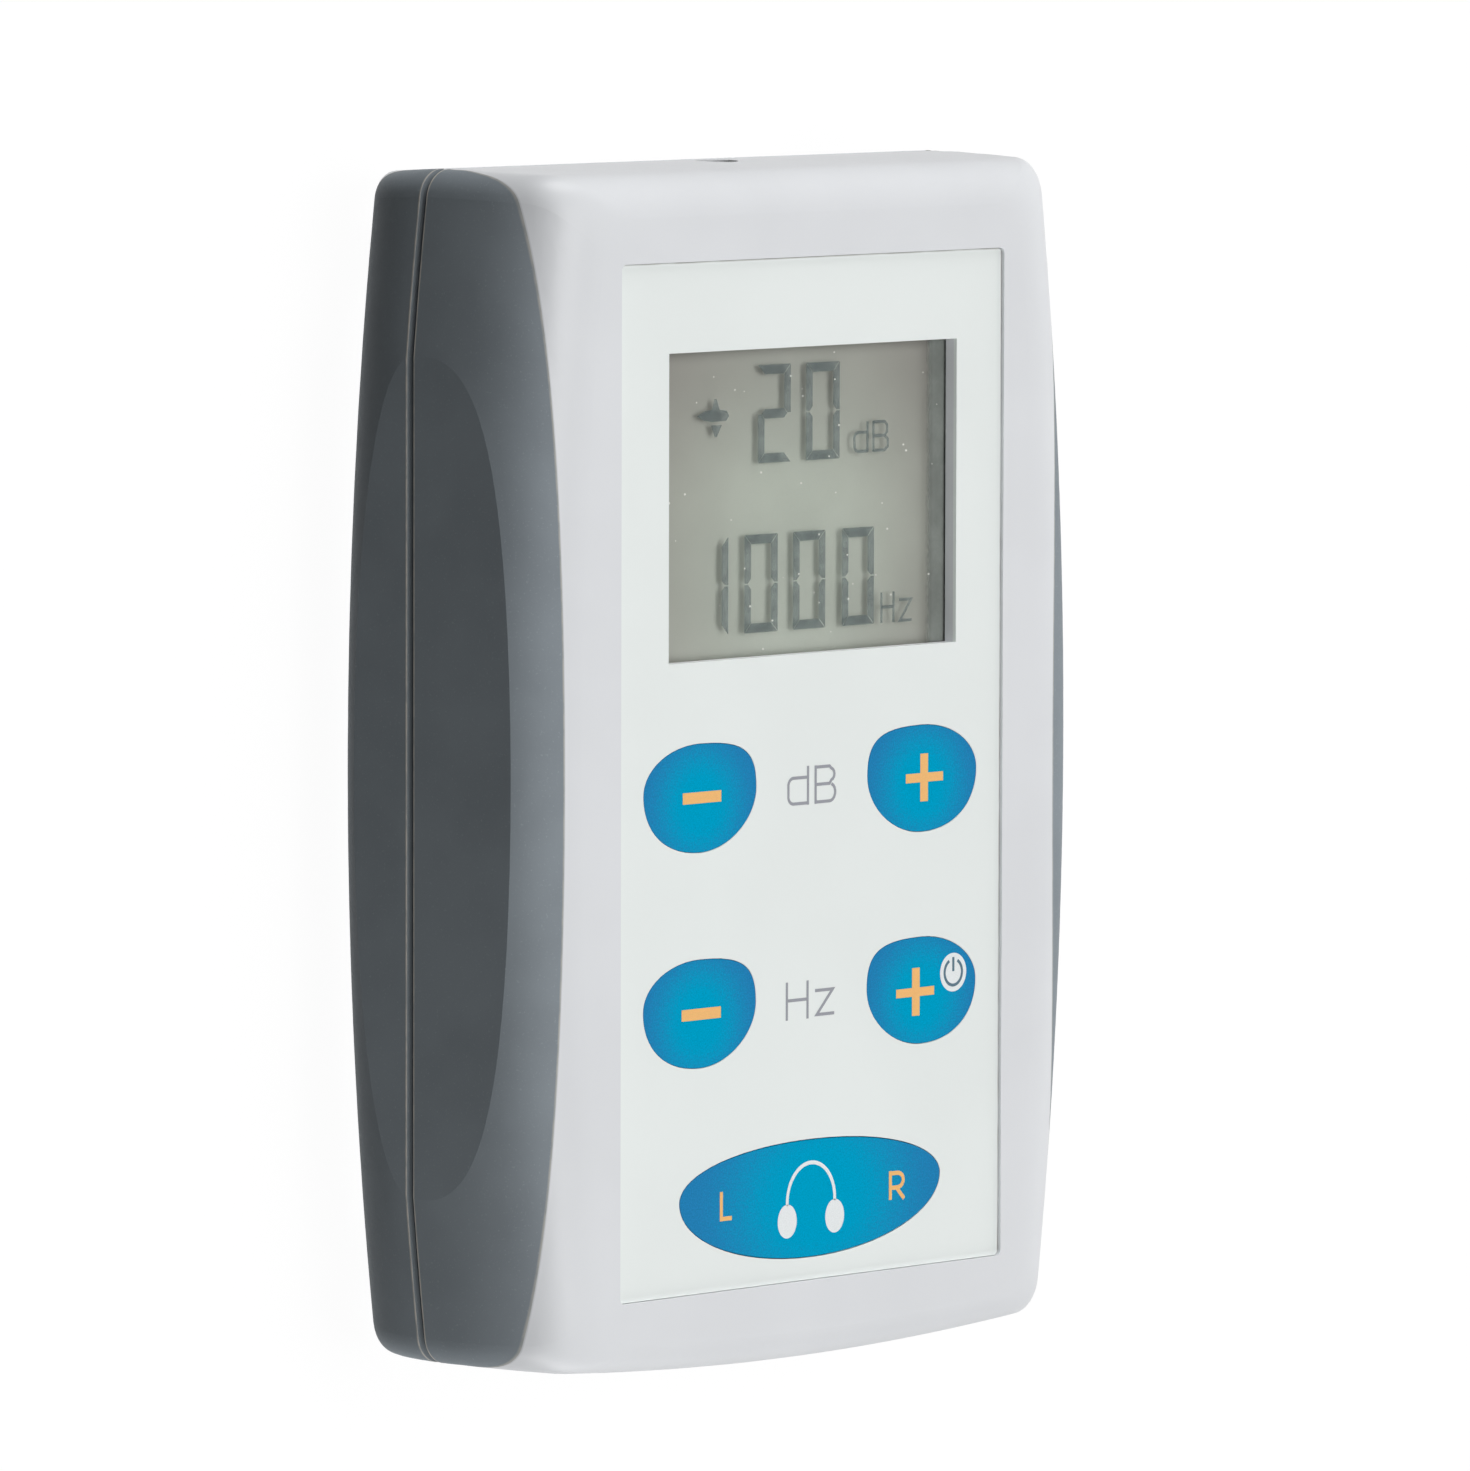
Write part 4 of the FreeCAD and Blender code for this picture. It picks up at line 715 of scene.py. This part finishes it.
class AUDIOMETER_OT_grips(bpy.types.Operator):
    """Finishes the four soft side grips"""
    bl_idname = "audiometer.grips"
    bl_label = "Side grips"
    bl_options = {"REGISTER", "UNDO"}

    def execute(self, context):
        look = context.scene.audiometer_case
        finish = soft_grip(look)
        for half in ("front", "rear"):
            for side in ("left", "right"):
                paint(f"{half}_grip_{side}", finish)
        return {"FINISHED"}


class AUDIOMETER_OT_film(bpy.types.Operator):
    """Finishes the front film and prints the unit legends on it"""
    bl_idname = "audiometer.film"
    bl_label = "Front film"
    bl_options = {"REGISTER", "UNDO"}

    def execute(self, context):
        look = context.scene.audiometer_print
        paint("overlay", printed_film(look))
        finish = ink("legend_ink", look.legend)
        for name, strokes in (("legend_db", legend_db_strokes()), ("legend_hz", LEGEND_HZ)):
            parts = lines(strokes, look.stroke / MM, FILM_TOP)
            make_piece(name, parts, finish, "case")
        return {"FINISHED"}


class AUDIOMETER_OT_keys(bpy.types.Operator):
    """Finishes the four pebble keys and prints their plus, minus and power symbols"""
    bl_idname = "audiometer.keys"
    bl_label = "Pebble keys"
    bl_options = {"REGISTER", "UNDO"}

    def execute(self, context):
        look = context.scene.audiometer_print
        orange = ink("symbol_ink", look.symbol)
        white = ink("white_ink", look.white)
        grey = ink("power_ink", colour(96, 124, 140))
        for name in PEBBLE_KEYS:
            middle = middle_and_half(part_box("key_" + name))[0]
            centre = (middle.x, middle.y - KEY_TONE_DROP)
            paint("key_" + name, key_film(name, look, centre, KEY_TONE))
            bars = [plate(block(*edges), FILM_TOP, INK) for edges in KEY_BARS[name]]
            make_piece("symbol_" + name, bars, orange, "key_" + name)
        disc = plate(arc(POWER_CENTRE, (POWER_DISC, POWER_DISC), 0, 352.5, 48), FILM_TOP, INK)
        make_piece("power_disc", [disc], white, "key_hz_up")
        x, y = POWER_CENTRE
        ring = arc(POWER_CENTRE, (POWER_RING, POWER_RING), 118, 422, 40)
        bar = [(x, y + rise) for rise in POWER_BAR]
        sign = lines([ring, bar], POWER_STROKE, FILM_TOP + INK)
        make_piece("power_sign", sign, grey, "key_hz_up")
        return {"FINISHED"}


class AUDIOMETER_OT_ear_key(bpy.types.Operator):
    """Finishes the wide rocking key and prints its side letters and its headphones pictogram"""
    bl_idname = "audiometer.ear_key"
    bl_label = "Ear key"
    bl_options = {"REGISTER", "UNDO"}

    def execute(self, context):
        look = context.scene.audiometer_print
        middle = middle_and_half(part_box("key_ear"))[0]
        paint("key_ear", key_film("ear", look, (middle.x + EAR_TONE_SHIFT, middle.y), EAR_TONE))
        orange = ink("letter_ink", look.symbol)
        white = ink("headphone_ink", look.white)
        letter_l = [[(-12.83, -40.9), (-12.83, -43.56), (-11.35, -43.56)]]
        bowl = np.vstack([[(11.52, -41.14), (12.55, -41.14)], arc((12.55, -41.86), (0.85, 0.72), 75, -75, 9),
                          [(12.4, -42.58), (11.52, -42.58)]])
        letter_r = [[(11.52, -43.75), (11.52, -40.9)], bowl, [(12.4, -42.58), (13.5, -43.75)]]
        for name, strokes in (("letter_left", letter_l), ("letter_right", letter_r)):
            make_piece(name, lines(strokes, LETTER_STROKE, FILM_TOP), orange, "ear_key")
        band = arc((0.0, -42.80), (HEADBAND_HALF, 3.72), 184, -4, 41)
        pads = [plate(arc((x, -44.61), (1.36, 1.66), 0, 350, 36), FILM_TOP, INK)
                for x in (HEADBAND_HALF, -HEADBAND_HALF)]
        parts = lines([band], BAND_STROKE, FILM_TOP) + pads
        make_piece("headphones", parts, white, "ear_key")
        return {"FINISHED"}


class AUDIOMETER_OT_display(bpy.types.Operator):
    """Finishes the display's layers, and adds its segments, polariser, a dark band of painted shadow along
    the right edge, and dust
    """
    bl_idname = "audiometer.display"
    bl_label = "Display"
    bl_options = {"REGISTER", "UNDO"}

    def execute(self, context):
        look = context.scene.audiometer_display
        paint("display_glass", display_glass())
        foil = reflector_foil(look)
        paint("display_reflector", foil)
        paint("display_gasket", moulded("gasket_foam", colour(58, 58, 60), 0.9, 0.3, 0.03, 0.12))
        paint("display_frame", moulded("frame_plastic", colour(206, 206, 202), 0.5))
        rubber = moulded("zebra_rubber", colour(70, 72, 76), 0.7, 0.12, 0.01, 0.1)
        for node in ("zebra_top", "zebra_bottom"):
            paint(node, rubber)
        dark, top = segment_ink(look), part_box("display_glass")[1].z / MM
        bars = [plate(bar, top - CRYSTAL_DEPTH, INK) for bar in display_bars(look.stroke / MM, look.gap / MM)]
        make_piece("display_segments", bars, dark, "case")
        units = lines(display_unit_strokes(), UNIT_STROKE, top - CRYSTAL_DEPTH)
        make_piece("display_units", units, dark, "case")
        dust = ink("glass_dust", colour(236, 236, 230))
        make_piece("display_dust", dust_specks(top), dust, "case")
        # Painted shadow: a dark sheet on the glass along the right edge, where the window's wall shades the
        # display; it casts no shadow of its own.
        shadow_band = plate(block(SHADOW_BAND_LEFT, WINDOW_RIGHT, WINDOW_LOW, WINDOW_HIGH), top, INK)
        piece = make_piece("display_seal", [shadow_band], painted_shadow_band(look), "case")
        piece.visible_shadow = False
        low, high = (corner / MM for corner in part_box("display_reflector"))
        sheet = plate(block(low.x, high.x, low.y, high.y), high.z + INK, INK)
        make_piece("display_polariser", [sheet], foil, "case")
        return {"FINISHED"}


class AUDIOMETER_OT_socket(bpy.types.Operator):
    """Finishes the headphone socket"""
    bl_idname = "audiometer.socket"
    bl_label = "Headphone socket"
    bl_options = {"REGISTER", "UNDO"}

    def execute(self, context):
        paint("jack_sleeve", metal("socket_nickel", colour(206, 203, 196), 0.24, (1.0, 0.1, 1.0)))
        paint("jack_contacts", metal("contact_nickel", colour(214, 196, 150), 0.3))
        paint("jack_body", moulded("jack_plastic", colour(36, 37, 40), 0.5))
        return {"FINISHED"}


class AUDIOMETER_OT_electronics(bpy.types.Operator):
    """Finishes the circuit board, its chips, cans, switches and plungers"""
    bl_idname = "audiometer.electronics"
    bl_label = "Circuit board"
    bl_options = {"REGISTER", "UNDO"}

    def execute(self, context):
        paint("main_board", circuit_board())
        for node in ("controller_chip", "codec_chip", "amplifier_chip", "memory_chip", "regulator_chip"):
            paint(node, chip_finish(node))
        paint("crystal", metal("crystal_can", colour(208, 206, 200), 0.28, (0.1, 1.0, 1.0)))
        can = metal("capacitor_can", colour(212, 214, 216), 0.3, (1.0, 1.0, 0.1))
        switch = moulded("switch_plastic", colour(58, 60, 64), 0.5)
        plunger = moulded("plunger_plastic", colour(190, 178, 150), 0.45)
        for side in ("left", "right"):
            paint("capacitor_" + side, can)
        for name in (*PEBBLE_KEYS, "left", "right"):
            paint("switch_" + name, switch)
            paint("plunger_" + name, plunger)
        paint("board_screws", metal("board_screw_steel", colour(190, 190, 188), 0.3))
        return {"FINISHED"}


class AUDIOMETER_OT_power(bpy.types.Operator):
    """Finishes the battery, its snap, its leads and the case screws"""
    bl_idname = "audiometer.power"
    bl_label = "Battery and screws"
    bl_options = {"REGISTER", "UNDO"}

    def execute(self, context):
        paint("battery", battery_finish())
        paint("battery_snap", moulded("snap_plastic", colour(30, 30, 32), 0.45))
        paint("lead_positive", moulded("lead_red", colour(190, 36, 34), 0.4))
        paint("lead_negative", moulded("lead_black", colour(32, 32, 34), 0.4))
        paint("case_screws", metal("case_screw_steel", colour(186, 186, 184), 0.3))
        return {"FINISHED"}


# Each lamp with the name of its power, its place and the length of its side, in metres
LAMPS = {"front": ("front", (-0.22, 0.15, 1.45), 1.0),
         "head": ("head", (0.12, 1.42, 0.42), 0.9),
         "foot": ("foot", (0.1, -1.5, 0.4), 0.9),
         "right": ("right", (1.5, 0.0, 0.5), 0.9),
         "near": ("near", (-0.14, -0.22, 0.06), 0.1),
         "under": ("front", (0.0, 0.0, -1.2), 1.0)}
NO_MIRROR_IMAGE = "right"   # low enough to glare on the face when it is seen low from the left
CASE_MIDDLE = Vector((0, 0, 0.016))


def area_lamp(name, place, side, watts):
    """A square lamp that faces the middle of the case."""
    lamp = bpy.data.lights.new("lamp_" + name, "AREA")
    lamp.size, lamp.energy = side, watts
    piece = bpy.data.objects.new("lamp_" + name, lamp)
    bpy.context.scene.collection.objects.link(piece)
    piece.location = place
    piece.rotation_euler = (CASE_MIDDLE - Vector(place)).to_track_quat("-Z", "Y").to_euler()
    piece.visible_camera = False
    piece.visible_glossy = name != NO_MIRROR_IMAGE


CAMERA_PLACE = (-0.92444, 0.10632, 0.88441)
CAMERA_TURN, CAMERA_TILT, CAMERA_ROLL = (math.radians(value) for value in (47.0, 4.71, 0.137))
CAMERA_LENS = 316.97
CAMERA_SENSOR = 36.0
CAMERA_CLIP = (0.05, 30.0)
FLOOR_REACH = 6.0
FLOOR_GAP = 0.00005         # the floor lies this little below the back, so that the two don't coincide
FLOOR_LIT = 0.72            # share of the floor's own light that the lamps give back to the eye
CONTACT = 0.003             # light within this distance of the floor passes it, to reach the back


def seen_directly(tree):
    """1 for what the eye, a mirror or a window sees, and 0 for light that is only gathered."""
    path = tree.nodes.new("ShaderNodeLightPath")
    total = path.outputs["Is Camera Ray"]
    for other in ("Is Glossy Ray", "Is Transmission Ray"):
        node = tree.nodes.new("ShaderNodeMath")
        node.operation = "MAXIMUM"
        tree.links.new(total, node.inputs[0])
        tree.links.new(path.outputs[other], node.inputs[1])
        total = node.outputs[0]
    return total


def add_floor(level):
    """A flat sheet: white where it is seen and lit, grey for gathered light, open from below."""
    finish = Finish("stage_floor", (1, 1, 1, 1), 1.0)
    matt = finish.add("ShaderNodeBsdfDiffuse", Color=(level, level, level, 1))
    glow = finish.add("ShaderNodeEmission", Color=(1, 1, 1, 1), Strength=1.0 - level * FLOOR_LIT)
    lit = finish.add("ShaderNodeAddShader")
    finish.put(lit.inputs[0], matt.outputs[0])
    finish.put(lit.inputs[1], glow.outputs[0])
    seen = finish.mixed(seen_directly(finish.tree), matt, lit)
    path = finish.add("ShaderNodeLightPath")
    near = finish.sum("LESS_THAN", path.outputs["Ray Length"], CONTACT)
    near = finish.sum("SUBTRACT", near, path.outputs["Is Camera Ray"])
    below = finish.add("ShaderNodeNewGeometry").outputs["Backfacing"]
    clear = finish.add("ShaderNodeBsdfTransparent")
    finish.surface_from(finish.mixed(finish.sum("MAXIMUM", near, below), seen, clear))
    mesh = bpy.data.meshes.new("floor")
    reach, low = FLOOR_REACH, -FLOOR_GAP
    mesh.from_pydata([(-reach, -reach, low), (reach, -reach, low), (reach, reach, low),
                      (-reach, reach, low)], [], [(0, 1, 2, 3)])
    mesh.materials.append(finish.material)
    piece = bpy.data.objects.new("floor", mesh)
    bpy.context.scene.collection.objects.link(piece)


def add_surround(level):
    """White where it is seen, and an even dim light otherwise."""
    world = bpy.data.worlds.new("surround")
    bpy.context.scene.world = world
    world.use_nodes = True
    tree = world.node_tree
    node = tree.nodes.new("ShaderNodeMapRange")
    tree.links.new(seen_directly(tree), node.inputs["Value"])
    node.inputs["To Min"].default_value = level
    tree.links.new(node.outputs["Result"], tree.nodes["Background"].inputs["Strength"])
    tree.nodes["Background"].inputs["Color"].default_value = (1, 1, 1, 1)


def add_camera():
    """Turned about Y, tilted towards the head end and rolled a little, all from straight above."""
    turn = Matrix.Rotation(-CAMERA_TURN, 3, "Y")
    tilt = Matrix.Rotation(-CAMERA_TILT, 3, "X")
    roll = Matrix.Rotation(CAMERA_ROLL, 3, "Z")
    lens = bpy.data.cameras.new("camera")
    lens.sensor_fit, lens.sensor_width, lens.lens = "HORIZONTAL", CAMERA_SENSOR, CAMERA_LENS
    lens.clip_start, lens.clip_end = CAMERA_CLIP
    piece = bpy.data.objects.new("camera", lens)
    piece.matrix_world = Matrix.Translation(CAMERA_PLACE) @ (turn @ tilt @ roll).to_4x4()
    bpy.context.scene.collection.objects.link(piece)
    bpy.context.scene.camera = piece


class AUDIOMETER_OT_stage(bpy.types.Operator):
    """Sets the pale floor, the soft lamps, the surround and the camera"""
    bl_idname = "audiometer.stage_set"
    bl_label = "Stage"
    bl_options = {"REGISTER", "UNDO"}

    def execute(self, context):
        look = context.scene.audiometer_stage
        add_floor(look.floor)
        add_surround(look.surround)
        for name, (which, place, side) in LAMPS.items():
            area_lamp(name, place, side, getattr(look, which))
        add_camera()
        context.scene.view_settings.view_transform = "Standard"
        return {"FINISHED"}


# ---------------------------------------------------------------- panel and registration

STEPS = (AUDIOMETER_OT_case, AUDIOMETER_OT_grips, AUDIOMETER_OT_film, AUDIOMETER_OT_keys,
         AUDIOMETER_OT_ear_key, AUDIOMETER_OT_display, AUDIOMETER_OT_socket,
         AUDIOMETER_OT_electronics, AUDIOMETER_OT_power, AUDIOMETER_OT_stage)
LOOKS = (("audiometer_case", CaseLook), ("audiometer_print", PrintLook),
         ("audiometer_display", DisplayLook), ("audiometer_stage", StageLook))


class AUDIOMETER_PT_build(bpy.types.Panel):
    """Lists the steps in the order in which they are run"""
    bl_label = "Audiometer"
    bl_idname = "AUDIOMETER_PT_build"
    bl_space_type = "VIEW_3D"
    bl_region_type = "UI"
    bl_category = "Audiometer"

    def draw(self, context):
        for step in STEPS:
            self.layout.operator(step.bl_idname)
        for name, look in LOOKS:
            box = self.layout.box()
            for key in look.__annotations__:
                box.prop(getattr(context.scene, name), key)


def register():
    for name, look in LOOKS:
        bpy.utils.register_class(look)
        setattr(bpy.types.Scene, name, bpy.props.PointerProperty(type=look))
    for step in STEPS:
        bpy.utils.register_class(step)
    bpy.utils.register_class(AUDIOMETER_PT_build)


def unregister():
    bpy.utils.unregister_class(AUDIOMETER_PT_build)
    for step in reversed(STEPS):
        bpy.utils.unregister_class(step)
    for name, look in reversed(LOOKS):
        delattr(bpy.types.Scene, name)
        bpy.utils.unregister_class(look)


def main():
    """Runs every step in order."""
    register()
    for step in STEPS:
        group, name = step.bl_idname.split(".")
        getattr(getattr(bpy.ops, group), name)()


if __name__ == "__main__":
    main()
